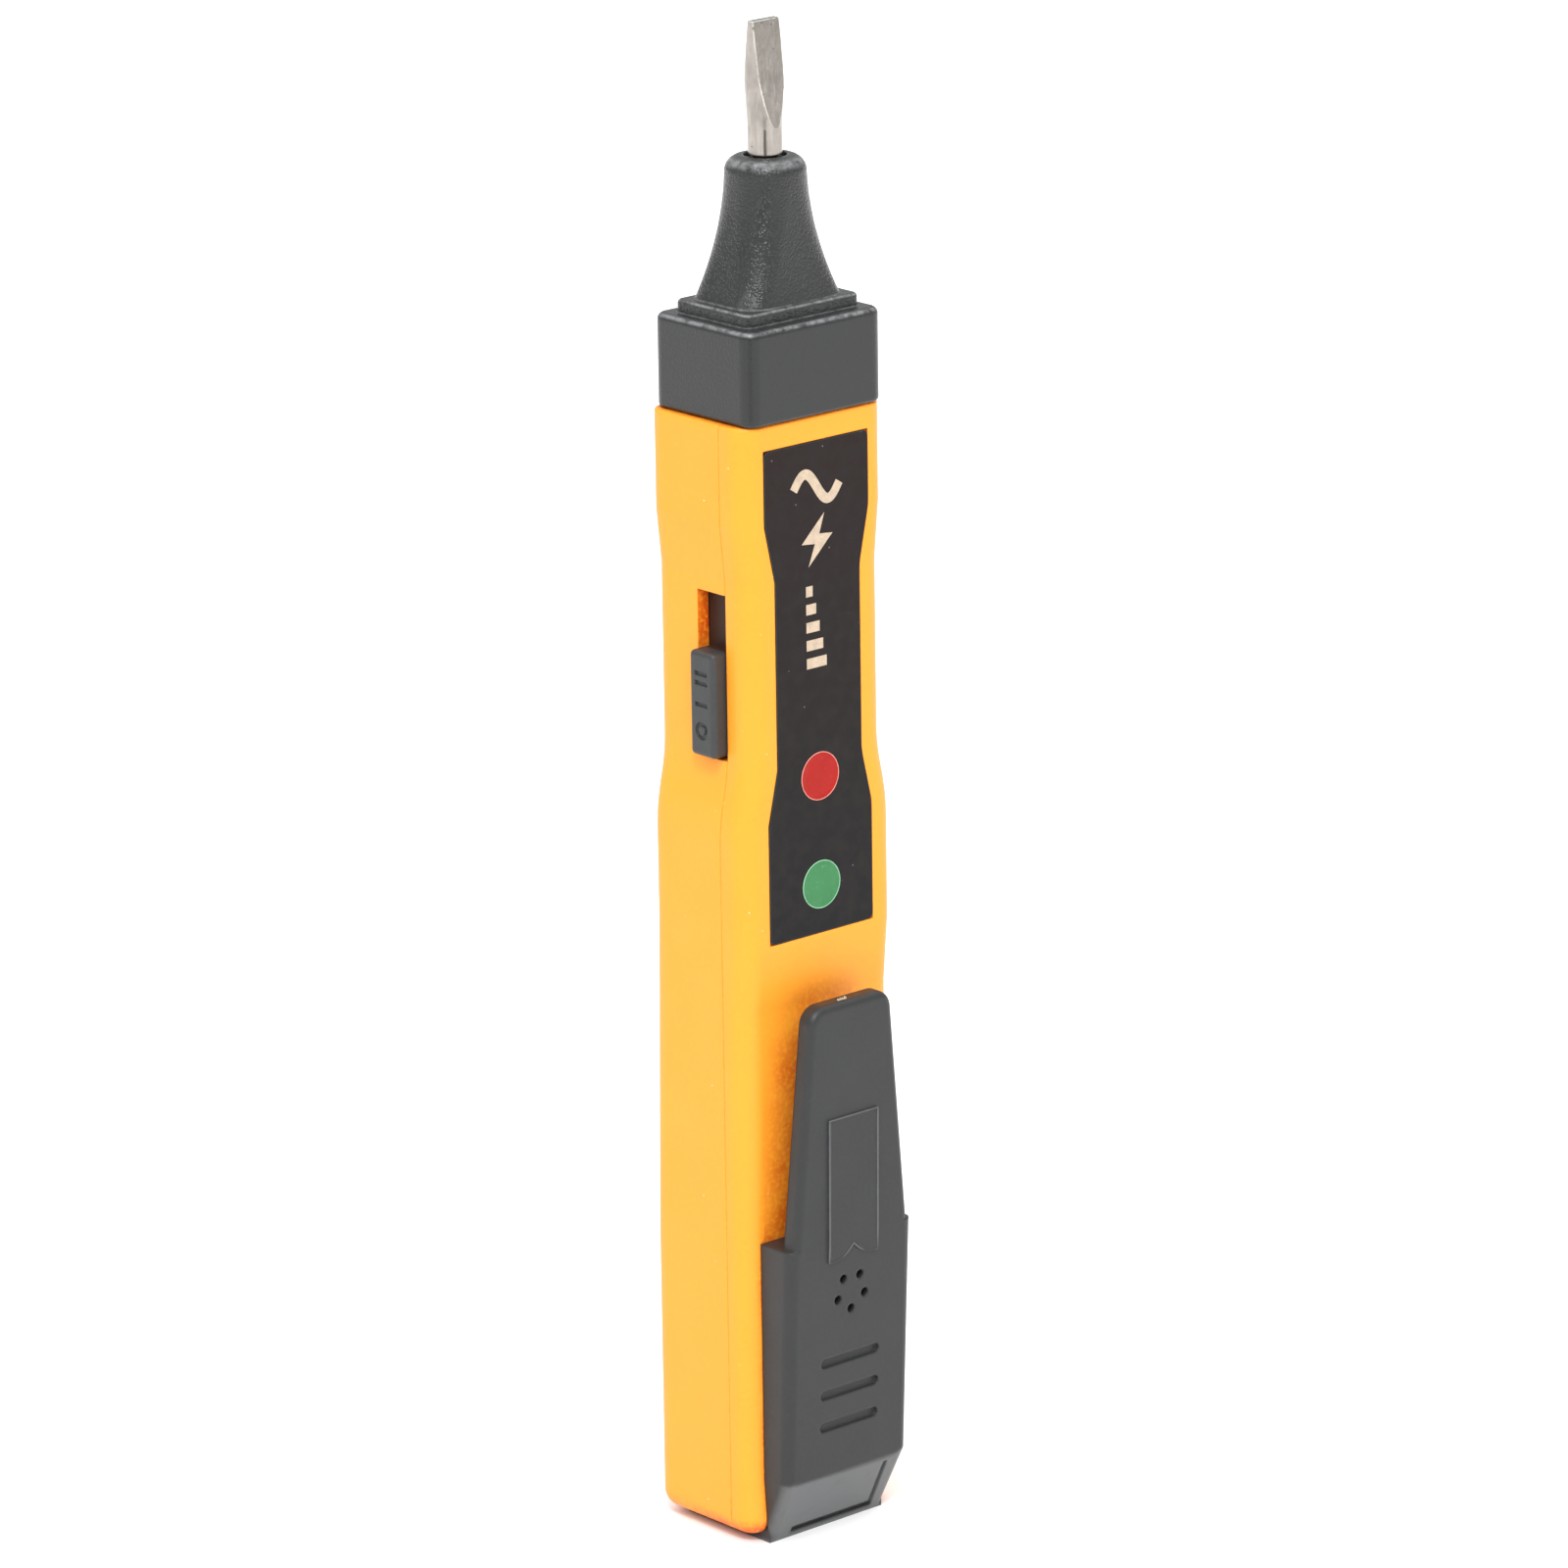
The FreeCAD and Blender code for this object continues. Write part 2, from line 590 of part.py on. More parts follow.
def blade():
    body = new_body("blade")
    revolve(body, "XZ", polygon([
        ("0", "shaft_bottom"), ("tang", "shaft_bottom"), ("tang", "flange_low"),
        ("flange", "flange_low"), ("flange", "flange_high"), ("tang", "flange_high"),
        ("tang", "tang_top"), ("shaft", "tang_top"), ("shaft", "flare_start"),
        ("flare", "flare_height"), ("tip_half", "tip_height"), ("0", "tip_height")]))
    for side in ("-1", "1"):
        cut(body, "YZ", f"-flare - {PAST}", f"flare + {PAST}", polygon([
            (f"{side} * shaft", "flat_start"),
            (f"{side} * tip_thick", f"tip_height + {PAST}"),
            (f"{side} * (flare + {PAST})", f"tip_height + {PAST}"),
            (f"{side} * (flare + {PAST})", "flat_start")]))
    return body


def coil(label, axis_y, low, high, radius, wire, turns):
    """Round-wire coil spring standing on Z."""
    body = new_body(label)
    sketch = new_sketch(body, "XZ", axis_y)
    circle(radius, f"{low} + {wire}", wire)(sketch)
    spring = body.newObject("PartDesign::AdditiveHelix", f"{label}_helix")
    spring.Profile = sketch
    spring.ReferenceAxis = (sketch, ["V_Axis"])
    spring.Mode = "height-turns-angle"
    bind(spring, "Height", f"{high} - ({low}) - 2 * {wire}")
    spring.Turns = turns
    doc.recompute()
    return body


def spring_seat():
    """Bent strip on the board that carries the spring under the blade."""
    body = new_body("spring_seat")
    seat_top = "board_top - 0.8"
    add(body, "YZ", "-1.6", "1.6", polygon([
        ("board_back + 0.02", "board_top - 7"), ("board_back + 0.3", "board_top - 7"),
        ("board_back + 0.3", f"{seat_top} - 0.3"), ("1.9", f"{seat_top} - 0.3"),
        ("1.9", seat_top), ("board_back + 0.02", seat_top)]))
    return body


# Label, lights and board -----------------------------------------------------------------------

def label_plate():
    body = new_body("label_plate")
    front = "case_front - label_proud"
    add(body, "XZ", front, f"{front} + label_thick", polygon(label_outline("0")))
    soften(body, "Fillet", "label_corner",
           lambda a, b: abs(a.y - b.y) > 0.1 and (near(a.z, "label_bottom") or near(a.z, "label_top")))
    soften(body, "Fillet", "waist_blend * 0.5",
           lambda a, b: abs(a.y - b.y) > 0.1 and abs(a.x - b.x) < 1e-6 and across_waist(a, b))
    for height in ("red_height", "green_height"):
        cut(body, "XZ", front, f"{front} + label_thick", circle("0", height, "lens + fit"))
    return body


def light(colour, height):
    """Lens with its flange, and the light-emitting chip on the board behind it."""
    body = new_body(f"{colour}_lens")
    front = "case_front - label_proud"
    inner = "case_front + wall + 0.05"
    add(body, "XZ", front, inner, circle("0", height, "lens"))
    add(body, "XZ", inner, "lens_back", circle("0", height, "lens_flange"))
    lamp = new_body(f"{colour}_led")
    add(lamp, "XZ", "board_front - 0.45", "board_front - 0.02",
        rectangle("-1.4", "1.4", f"{height} - 1.75", f"{height} + 1.75"))
    add(lamp, "XZ", "board_front - 0.7", "board_front - 0.45", circle("0", height, "1.2"))


def circuit_board():
    body = new_body("circuit_board")
    add(body, "XZ", "board_front", "board_back",
        rectangle("-board_half", "board_half", "board_bottom", "board_top"))
    soften(body, "Fillet", "soft_edge", lambda a, b: abs(a.y - b.y) > 0.5)
    cut(body, "XZ", "board_front", "board_back",
        several(*(circle(x, z, "pilot + 0.2") for x, z in boss_places())))


def board_screws():
    screws = []
    for i, (x, z) in enumerate(boss_places()):
        screw = new_body(f"board_screw_{i + 1}")
        add(screw, "XZ", "board_front - 0.9", "board_back + 0.02", circle(x, z, "pilot - 0.06"))
        add(screw, "XZ", "board_back + 0.02", "board_back + 0.9", circle(x, z, "1.5"))
        head = "board_back + 0.9"
        cut(screw, "XZ", "board_back + 0.5", head, several(
            rectangle(f"{x} - 1", f"{x} + 1", f"{z} - 0.18", f"{z} + 0.18")))
        screws.append(screw)
    group("board_screws", screws)


def board_parts():
    """Chips on the back of the board, the small ones in rows."""
    back = "board_back + 0.02"
    block("control_chip", ("-1.4", "2.5"), (back, f"{back} + 1.5"), ("60", "68.7"))
    block("transistor", ("3.8", "5.4"), (back, f"{back} + 1.0"), ("72", "74.9"))
    resistors = []
    for i in range(6):
        low = f"{50 + 1.9 * i}"
        resistors.append(block(f"resistor_{i + 1}", ("-5", "-3"), (back, f"{back} + 0.5"),
                               (low, f"{low} + 1.2")))
    group("resistors", resistors)
    capacitors = []
    for i in range(4):
        low = f"{76 + 2.4 * i}"
        capacitors.append(block(f"capacitor_{i + 1}", ("1", "3.1"), (back, f"{back} + 0.9"),
                                (low, f"{low} + 1.4")))
    group("capacitors", capacitors)


# Slide switch ----------------------------------------------------------------------------------

def switch_body():
    """Metal can of the slide switch, with the slot in which its lever runs."""
    body = new_body("switch_body")
    add(body, "YZ", "can_out", "can_in",
        rectangle("board_back + 0.02", "can_rear", "can_low", "can_high"))
    soften(body, "Fillet", "soft_edge * 0.5", lambda a, b: abs(a.x - b.x) > 1)
    cut(body, "YZ", "can_out", "lever_in + 0.15", rectangle(
        "lever_middle - lever_half - 0.1", "lever_middle + lever_half + 0.1",
        "lever_low - 0.3", "lever_high + switch_travel + 0.3"))


def switch_lever():
    block("switch_lever", ("lever_out", "lever_in"),
          ("lever_middle - lever_half", "lever_middle + lever_half"), ("lever_low", "lever_high"))


def switch_knob():
    """Knob outside, its neck in the slot and the plate that keeps the slot shut."""
    body = new_body("switch_knob")
    add(body, "YZ", "plate_out", "plate_in",
        rectangle("plate_front", "plate_rear", "plate_low", "plate_high"))
    add(body, "YZ", "knob_out", "plate_out",
        rectangle("knob_front", "knob_rear", "knob_low", "knob_high"))
    soften(body, "Fillet", "knob_round",
           lambda a, b: near(a.x, "knob_out") or near(b.x, "knob_out"))
    cut(body, "YZ", "lever_out - 0.1", "plate_in", rectangle(
        "lever_middle - lever_half - 0.06", "lever_middle + lever_half + 0.06",
        "lever_low - 0.06", "lever_high + 0.06"))
    middle = "(knob_front + knob_rear) / 2"
    step = "(knob_high - knob_low) / 4"
    marks = []
    for row, lines in ((3, (-0.5, 0.5)), (2, (0,))):
        height = f"knob_low + {row} * {step}"
        for shift in lines:
            centre = f"{height} + {shift}"
            marks.append(rectangle(f"{middle} - mark_reach", f"{middle} + mark_reach",
                                   f"{centre} - mark_line", f"{centre} + mark_line"))
    ring = f"knob_low + {step}"
    marks.append(circle(middle, ring, "mark_reach"))
    marks.append(circle(middle, ring, "mark_reach - 2 * mark_line"))
    cut(body, "YZ", "knob_out", "knob_out + mark_deep", several(*marks))


# Battery compartment ---------------------------------------------------------------------------

def battery():
    body = new_body("battery")
    add(body, "XY", "cell_low", "cell_shoulder", circle("0", "cell_back", "cell"))
    soften(body, "Fillet", "soft_edge", lambda a, b: True)
    add(body, "XY", "cell_shoulder", "cell_top", circle("0", "cell_back", "cell_button"))


def positive_contact():
    """Plate over the battery's button, with a tab that runs up to the board."""
    body = new_body("positive_contact")
    low = "cell_top + 0.05"
    add(body, "YZ", "-2.5", "2.5", polygon([
        ("board_back + 0.02", low), ("cell_back + 3", low),
        ("cell_back + 3", f"{low} + sheet_metal"),
        ("board_back + 0.02 + sheet_metal", f"{low} + sheet_metal"),
        ("board_back + 0.02 + sheet_metal", "board_bottom + 3"),
        ("board_back + 0.02", "board_bottom + 3")]))


def tail_contact():
    """Plate in the tail under the spring, with a tab that reaches the contact strip."""
    body = new_body("tail_contact")
    low = "plug_high + 0.02"
    tab = "strip_front - 0.03"
    add(body, "YZ", "-strip_half", "strip_half", polygon([
        ("cell_back - 4", low), (tab, low), (tab, "cell_low - 0.3"),
        (f"{tab} - sheet_metal", "cell_low - 0.3"),
        (f"{tab} - sheet_metal", f"{low} + sheet_metal"),
        ("cell_back - 4", f"{low} + sheet_metal")]))


def contact_strip():
    block("contact_strip", ("-strip_half", "strip_half"),
          ("strip_front", "case_back - wall - 0.01"), ("strip_low", "strip_high"))


def ground_lead():
    """Lead from the top of the contact strip to the board: two bends in a round wire."""
    body = new_body("ground_lead")
    path = new_sketch(body, "YZ", "0")
    strip_y = size("strip_front - lead - 0.05")
    board_y = size("board_back + 0.05")
    low = size("strip_high - 1.5")
    bend = 3.0
    rise = low + 4.0
    vector = FreeCAD.Vector
    points = [vector(strip_y, low, 0), vector(strip_y, rise, 0),
              vector(strip_y - bend, rise + bend, 0), vector(board_y, rise + bend, 0)]
    path.addGeometry(Part.LineSegment(points[0], points[1]))
    centre = vector(strip_y - bend, rise, 0)
    quarter = Part.ArcOfCircle(Part.Circle(centre, vector(0, 0, 1), bend), 0, math.pi / 2)
    path.addGeometry(quarter)
    path.addGeometry(Part.LineSegment(points[2], points[3]))
    path.addConstraint(Sketcher.Constraint("Tangent", 0, 2, 1, 1))
    path.addConstraint(Sketcher.Constraint("Tangent", 1, 2, 2, 1))
    dimension(path, "DistanceX", (-1, 1, 0, 1), "strip_front - lead - 0.05")
    dimension(path, "DistanceY", (-1, 1, 0, 1), "strip_high - 1.5")
    section = new_sketch(body, "XY", "strip_high - 1.5")
    circle("0", "strip_front - lead - 0.05", "lead")(section)
    doc.recompute()
    pipe = body.newObject("PartDesign::AdditivePipe", "ground_lead_pipe")
    pipe.Profile = section
    pipe.Spine = (path, ["Edge1", "Edge2", "Edge3"])
    doc.recompute()


def sounder():
    """Brass disc with its ceramic behind the port, and two leads up to the board."""
    disc = new_body("sounder_disc")
    add(disc, "XZ", "disc_front", "disc_front + disc_thick", circle("0", "sound_height", "disc"))
    ceramic = new_body("sounder_ceramic")
    low = "disc_front + disc_thick + 0.01"
    add(ceramic, "XZ", low, f"{low} + disc_thick", circle("0", "sound_height", "ceramic"))
    leads = []
    for i, (x, height) in enumerate((("-1.5", "sound_height + 2"), ("2", "sound_height + 5"))):
        lead = new_body(f"sounder_lead_{i + 1}")
        add(lead, "XY", height, "board_bottom + 3", circle(x, "board_front - lead - 0.1", "lead"))
        leads.append(lead)
    group("sounder_leads", leads)


# Battery door and clip -------------------------------------------------------------------------

def obround(centre_v):
    """Slot with round ends, lying across the door."""
    def draw(sketch):
        flat = size("grip_half - grip_wide")
        radius = size("grip_wide")
        middle = size(centre_v)
        vector = FreeCAD.Vector
        z_axis = vector(0, 0, 1)
        first = sketch.GeometryCount
        right = Part.Circle(vector(flat, middle, 0), z_axis, radius)
        left = Part.Circle(vector(-flat, middle, 0), z_axis, radius)
        sketch.addGeometry(Part.ArcOfCircle(right, -math.pi / 2, math.pi / 2))
        sketch.addGeometry(Part.LineSegment(vector(flat, middle + radius, 0),
                                            vector(-flat, middle + radius, 0)))
        sketch.addGeometry(Part.ArcOfCircle(left, math.pi / 2, math.pi * 1.5))
        sketch.addGeometry(Part.LineSegment(vector(-flat, middle - radius, 0),
                                            vector(flat, middle - radius, 0)))
        for i in range(4):
            sketch.addConstraint(Sketcher.Constraint(
                "Tangent", first + i, 2, first + (i + 1) % 4, 1))
        for index, way in ((first, ""), (first + 2, "-")):
            dimension(sketch, "DistanceX", (-1, 1, index, 3), f"{way}(grip_half - grip_wide)")
            dimension(sketch, "DistanceY", (-1, 1, index, 3), centre_v)
        dimension(sketch, "Radius", (first,), "grip_wide")
    return draw


def along_line(low, high, start, end, height):
    """Front of a sloping face at a height, between its values start at low and end at high."""
    return f"{start} + ({end} - {start}) * ({height} - ({low})) / ({high} - ({low}))"


def door_face(height):
    return along_line("bevel_top", "door_top", "bevel_front", "door_face_top", height)


def bevel_face(height):
    return along_line("0", "bevel_top", "tail_front", "bevel_front", height)


def arm_face(height):
    return along_line("door_top", "arm_top", "door_face_top", "arm_front", height)


def engrave(body, face, left, right, low, high, deep):
    """Pocket of even depth that follows a sloping front face."""
    cut(body, "YZ", left, right, polygon([
        (f"{face(low)} - {PAST}", low), (f"{face(low)} + {deep}", low),
        (f"{face(high)} + {deep}", high), (f"{face(high)} - {PAST}", high)]))


def ribbon_end(sketch):
    """Swallow-tailed end of the ribbon panel: three sides and two scallops that meet in a peak."""
    vector = FreeCAD.Vector
    half, low, notch, top, radius = (size(name) for name in (
        "ribbon_half", "ribbon_low", "ribbon_notch", "door_top", "ribbon_curve"))
    left, peak, right = vector(-half, low, 0), vector(0, notch, 0), vector(half, low, 0)

    def scallop(start, end):
        chord = end - start
        sag = radius - math.sqrt(radius ** 2 - (chord.Length / 2) ** 2)
        down = vector(chord.y, -chord.x, 0).normalize()
        return Part.Arc(start, (start + end) / 2 + down * sag, end)
    upper_right, upper_left = vector(half, top, 0), vector(-half, top, 0)
    sketch.addGeometry(scallop(left, peak))
    sketch.addGeometry(scallop(peak, right))
    sketch.addGeometry(Part.LineSegment(right, upper_right))
    sketch.addGeometry(Part.LineSegment(upper_right, upper_left))
    sketch.addGeometry(Part.LineSegment(upper_left, left))
    for i in range(5):
        sketch.addConstraint(Sketcher.Constraint("Coincident", i, 2, (i + 1) % 5, 1))
    corners = (("-ribbon_half", "ribbon_low"), ("0", "ribbon_notch"), ("ribbon_half", "ribbon_low"),
               ("ribbon_half", "door_top"), ("-ribbon_half", "door_top"))
    for i, (u, v) in enumerate(corners):
        dimension(sketch, "DistanceX", (-1, 1, i, 1), u)
        dimension(sketch, "DistanceY", (-1, 1, i, 1), v)
    dimension(sketch, "Radius", (0,), "ribbon_curve")
    dimension(sketch, "Radius", (1,), "ribbon_curve")


def battery_door():
    """Raised cover on the front, bent under the case as the tail plug, with two rails."""
    body = new_body("battery_door")
    add(body, "YZ", "-door_half", "door_half", polygon([
        ("tail_front", "0"), ("bevel_front", "bevel_top"), ("door_face_top", "door_top"),
        ("door_back", "door_top"), ("door_back", "plug_high"), ("tail_front", "plug_high")]))
    for side in ("-1", "1"):
        cut(body, "XZ", f"door_face_top - {PAST}", f"tail_front + {PAST}", polygon([
            (f"{side} * tail_half", "0"), (f"{side} * door_half", "bevel_top"),
            (f"{side} * (door_half + {PAST})", "bevel_top"),
            (f"{side} * (door_half + {PAST})", "0")]))
    soften(body, "Fillet", "door_round", lambda a, b: (
        min(abs(a.x), abs(b.x)) > size("tail_half") - PAST and abs(a.z - b.z) > 5
        and min(a.y, b.y) < size("bevel_front") + PAST and max(a.y, b.y) < size("tail_front") + PAST))
    add(body, "XY", "0", "plug_high",
        rectangle("-plug_half", "plug_half", "tail_front", "plug_rear"))
    for side in ("-1", "1"):
        inner, outer, lip = (f"{side} * {name}" for name in ("rail_in", "rail_out", "rail_lip"))
        low, high = (outer, inner) if side == "-1" else (inner, outer)
        lip_low, lip_high = (lip, inner) if side == "-1" else (inner, lip)
        add(body, "XY", "plug_high", "rail_top", rectangle(low, high, "door_back", "lip_back"))
        add(body, "XY", "plug_high", "rail_top",
            rectangle(lip_low, lip_high, "lip_front", "lip_back"))
    holes = []
    for i in range(SOUND_HOLES):
        turn = 2 * math.pi * i / SOUND_HOLES - math.pi / 2
        holes.append(circle(f"sound_ring * {math.cos(turn):.5f}",
                            f"sound_height + sound_ring * {math.sin(turn):.5f}", "sound_hole"))
    cut(body, "XZ", f"door_face_top - {PAST}", "door_back", several(*holes))
    for i in range(GRIP_SLOTS):
        height = f"grip_low + {i} * grip_pitch"
        face = door_face(height)
        cut(body, "XZ", f"{face} - {PAST}", f"{face} + grip_deep", obround(height))
    add(body, "XZ", "door_face_top - ribbon_raise", "door_face_top + 2 * ribbon_raise", ribbon_end)
    engrave(body, bevel_face, "groove_right - groove_wide", "groove_right",
            "groove_low", "groove_high", "groove_deep")
    engrave(body, bevel_face, "groove_left", "groove_right - groove_wide",
            "groove_low", "groove_low + groove_wide", "groove_deep")
    return body


def clip_arm():
    """Spring arm of the clip: tapers upward, with a gripping ridge near its free end."""
    body = new_body("clip_arm")
    root = "door_top + arm_gap"
    add(body, "YZ", "-arm_root", "arm_root", polygon([
        ("door_face_top", root), ("arm_front", "arm_top"),
        ("arm_front + arm_thick", "arm_top"), ("door_face_top + arm_thick", root)]))
    for side in ("-1", "1"):
        cut(body, "XZ", f"arm_front - {PAST}", f"door_face_top + arm_thick + {PAST}", polygon([
            (f"{side} * arm_root", root), (f"{side} * arm_tip", "arm_top"),
            (f"{side} * (arm_root + {PAST})", "arm_top"),
            (f"{side} * (arm_root + {PAST})", root)]))
    soften(body, "Fillet", "arm_corner",
           lambda a, b: near(a.z, "arm_top") and near(b.z, "arm_top") and abs(a.y - b.y) > 1)

    def on_front(point):
        return near(point.y, arm_face(f"{point.z:.6f}"), 2e-2)
    soften(body, "Fillet", "arm_round",
           lambda a, b: on_front(a) and on_front(b) and max(a.z, b.z) > size(root) + PAST)
    add(body, "YZ", "-(arm_tip - 1)", "arm_tip - 1",
        circle("arm_front + arm_thick - 0.2", "nub_height", "nub"))
    add(body, "YZ", "-ribbon_half", "ribbon_half", polygon([
        (f"{arm_face(root)} - ribbon_raise", root), (f"{arm_face(root)} + ribbon_raise", root),
        (f"{arm_face('ribbon_high')} + ribbon_raise", "ribbon_high"),
        (f"{arm_face('ribbon_high')} - ribbon_raise", "ribbon_high")]))
    add(body, "XY", "arm_top - gate_high", "arm_top + gate_high", rectangle(
        "-2 * gate_half", "0", "arm_front + gate_half + 0.4", "arm_front + 2 * gate_half + 0.4"))
    return body


def build():
    fill_sheet()
    front_shell()
    rear_shell()
    nose_boot()
    blade()
    coil("blade_spring", "0", "board_top - 0.75", "shaft_bottom - 0.03", "1.3", "0.25", 5)
    spring_seat()
    label_plate()
    light("red", "red_height")
    light("green", "green_height")
    circuit_board()
    board_screws()
    board_parts()
    switch_body()
    switch_lever()
    switch_knob()
    battery()
    positive_contact()
    tail_contact()
    coil("battery_spring", "cell_back", "plug_high + 0.02 + sheet_metal + 0.02",
         "cell_low - 0.05", "3.4", "0.3", 3)
    contact_strip()
    ground_lead()
    sounder()
    battery_door()
    clip_arm()


def check_document():
    for item in doc.Objects:
        if "Invalid" in item.State or "Error" in item.State:
            raise RuntimeError(f"{item.Label} did not compute: {item.State}")
    for node in nodes:
        if node.Shape.isNull() or not node.Shape.isValid() or not node.Shape.Solids:
            raise RuntimeError(f"{node.Label} has no valid solid")


def write_parts():
    os.makedirs("parts", exist_ok=True)
    for node in nodes:
        node.Shape.exportStep(f"parts/{node.Label}.step")
        print(f"{node.Label}: {len(node.Shape.Solids)} solid(s), {node.Shape.Volume:.1f} mm3")


build()
doc.recompute()
check_document()
write_parts()
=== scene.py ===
"""Looks of the pen-shaped voltage tester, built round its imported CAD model."""
import json
import math

import bmesh
import bpy
from mathutils import Matrix, Vector


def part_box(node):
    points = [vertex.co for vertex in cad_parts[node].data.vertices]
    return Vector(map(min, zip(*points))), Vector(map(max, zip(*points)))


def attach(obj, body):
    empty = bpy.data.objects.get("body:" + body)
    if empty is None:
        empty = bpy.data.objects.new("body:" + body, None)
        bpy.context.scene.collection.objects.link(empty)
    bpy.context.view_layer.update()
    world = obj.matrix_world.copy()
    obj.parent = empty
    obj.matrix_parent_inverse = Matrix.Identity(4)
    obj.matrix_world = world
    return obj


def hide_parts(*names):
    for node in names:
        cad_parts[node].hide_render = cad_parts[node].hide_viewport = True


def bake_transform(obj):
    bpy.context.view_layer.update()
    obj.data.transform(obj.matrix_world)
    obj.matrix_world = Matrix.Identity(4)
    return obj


MM = 0.001
COLLAR_TOP = 130.2 * MM  # top of the nose's collar, above which its grain is coarse

# The front of the door and clip, as (Z, Y): lower edge, root of the arm, free end.
CLIP_PROFILE = ((7.4 * MM, -10.0 * MM), (33.4 * MM, -11.2 * MM), (59.2 * MM, -11.6 * MM))
BEND_LOW = 32.5 * MM   # the arm bends between these two heights
BEND_HIGH = 36.5 * MM

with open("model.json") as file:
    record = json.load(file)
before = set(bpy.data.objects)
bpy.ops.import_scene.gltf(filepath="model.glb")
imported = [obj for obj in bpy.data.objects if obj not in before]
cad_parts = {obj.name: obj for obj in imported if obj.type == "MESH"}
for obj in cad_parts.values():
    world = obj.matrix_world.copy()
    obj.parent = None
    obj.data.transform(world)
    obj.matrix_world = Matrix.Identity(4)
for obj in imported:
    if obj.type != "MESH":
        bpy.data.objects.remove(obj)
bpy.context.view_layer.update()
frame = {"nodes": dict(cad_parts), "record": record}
nodes = frame["nodes"]
scene = bpy.context.scene


# Shader helpers ---------------------------------------------------------------------------------

class Shader:
    """A new material with one Principled shader, and short ways to add nodes to it."""

    def __init__(self, name, color, roughness, metallic=0.0):
        self.material = bpy.data.materials.new(name)
        self.material.use_nodes = True
        self.tree = self.material.node_tree
        self.main = self.tree.nodes["Principled BSDF"]
        self.main.inputs["Base Color"].default_value = (*color, 1)
        self.main.inputs["Roughness"].default_value = roughness
        self.main.inputs["Metallic"].default_value = metallic
        self.color = color
        self.roughness = roughness
        self.place = self.node("TexCoord").outputs["Object"]
        self.tint = None
        self.rough = None
        self.normal = None

    def node(self, kind, **settings):
        """A node of this kind, such as Bump, with its settings."""
        made = self.tree.nodes.new("ShaderNode" + kind)
        for key, value in settings.items():
            setattr(made, key, value)
        return made

    def link(self, source, target):
        self.tree.links.new(source, target)

    def stretched(self, scale):
        """The place on the object, stretched by one factor along each axis."""
        mapping = self.node("Mapping")
        self.link(self.place, mapping.inputs["Vector"])
        mapping.inputs["Scale"].default_value = scale
        return mapping.outputs["Vector"]

    def noise(self, size, detail=2.0, stretch=(1, 1, 1)):
        """Noise whose features are about size metres across."""
        made = self.node("TexNoise")
        self.link(self.stretched(stretch), made.inputs["Vector"])
        made.inputs["Scale"].default_value = 1 / size
        made.inputs["Detail"].default_value = detail
        return made.outputs["Fac"]

    def cells(self, size):
        """Distance to the nearest of scattered points, about size metres apart."""
        made = self.node("TexVoronoi")
        self.link(self.place, made.inputs["Vector"])
        made.inputs["Scale"].default_value = 1 / size
        return made.outputs["Distance"]

    def along(self, axis, vector=None):
        """One coordinate of a vector, or of the place on the object."""
        split = self.node("SeparateXYZ")
        self.link(self.place if vector is None else vector, split.inputs[0])
        return split.outputs[axis]

    def rounded(self, radius):
        """The normal that the surface would have with its edges rounded by radius."""
        bevel = self.node("Bevel", samples=6)
        bevel.inputs["Radius"].default_value = radius
        return bevel.outputs["Normal"]

    def between(self, value, low, high, out_low=0.0, out_high=1.0):
        """value from low..high turned into out_low..out_high."""
        made = self.node("MapRange", clamp=True)
        self.link(value, made.inputs["Value"])
        for name, number in (("From Min", low), ("From Max", high),
                             ("To Min", out_low), ("To Max", out_high)):
            made.inputs[name].default_value = number
        return made.outputs["Result"]

    def times(self, first, second):
        """Product of an output and another output or number."""
        made = self.node("Math", operation="MULTIPLY")
        self.link(first, made.inputs[0])
        if isinstance(second, (int, float)):
            made.inputs[1].default_value = second
        else:
            self.link(second, made.inputs[1])
        return made.outputs[0]

    def coat(self, share, color, roughness=None):
        """Turns the surface towards another colour, and roughness, where share is near 1."""
        made = self.node("Mix", data_type="RGBA")
        self.link(share, made.inputs["Factor"])
        if self.tint is None:
            made.inputs["A"].default_value = (*self.color, 1)
        else:
            self.link(self.tint, made.inputs["A"])
        made.inputs["B"].default_value = (*color, 1)
        self.tint = made.outputs["Result"]
        if roughness is None:
            return
        made = self.node("Mix", data_type="FLOAT")
        self.link(share, made.inputs["Factor"])
        if self.rough is None:
            made.inputs["A"].default_value = self.roughness
        else:
            self.link(self.rough, made.inputs["A"])
        made.inputs["B"].default_value = roughness
        self.rough = made.outputs["Result"]

    def soft_edges(self, radius):
        """Shades sharp edges as if they were rounded, and gives how near an edge is."""
        self.normal = self.rounded(radius)
        wide = self.rounded(radius * 1.6)
        flat = self.node("NewGeometry").outputs["Normal"]
        dot = self.node("VectorMath", operation="DOT_PRODUCT")
        self.link(wide, dot.inputs[0])
        self.link(flat, dot.inputs[1])
        return self.between(dot.outputs["Value"], 0.99, 0.85)

    def bump(self, height, distance, strength=1.0):
        """Relief of this depth on top of what the normal already has."""
        made = self.node("Bump")
        made.inputs["Distance"].default_value = distance
        made.inputs["Strength"].default_value = strength
        self.link(height, made.inputs["Height"])
        if self.normal is not None:
            self.link(self.normal, made.inputs["Normal"])
        self.normal = made.outputs["Normal"]

    def finish(self):
        """Joins what was built up to the Principled shader and gives the material."""
        for value, name in ((self.tint, "Base Color"), (self.rough, "Roughness"),
                            (self.normal, "Normal")):
            if value is not None:
                self.link(value, self.main.inputs[name])
        return self.material


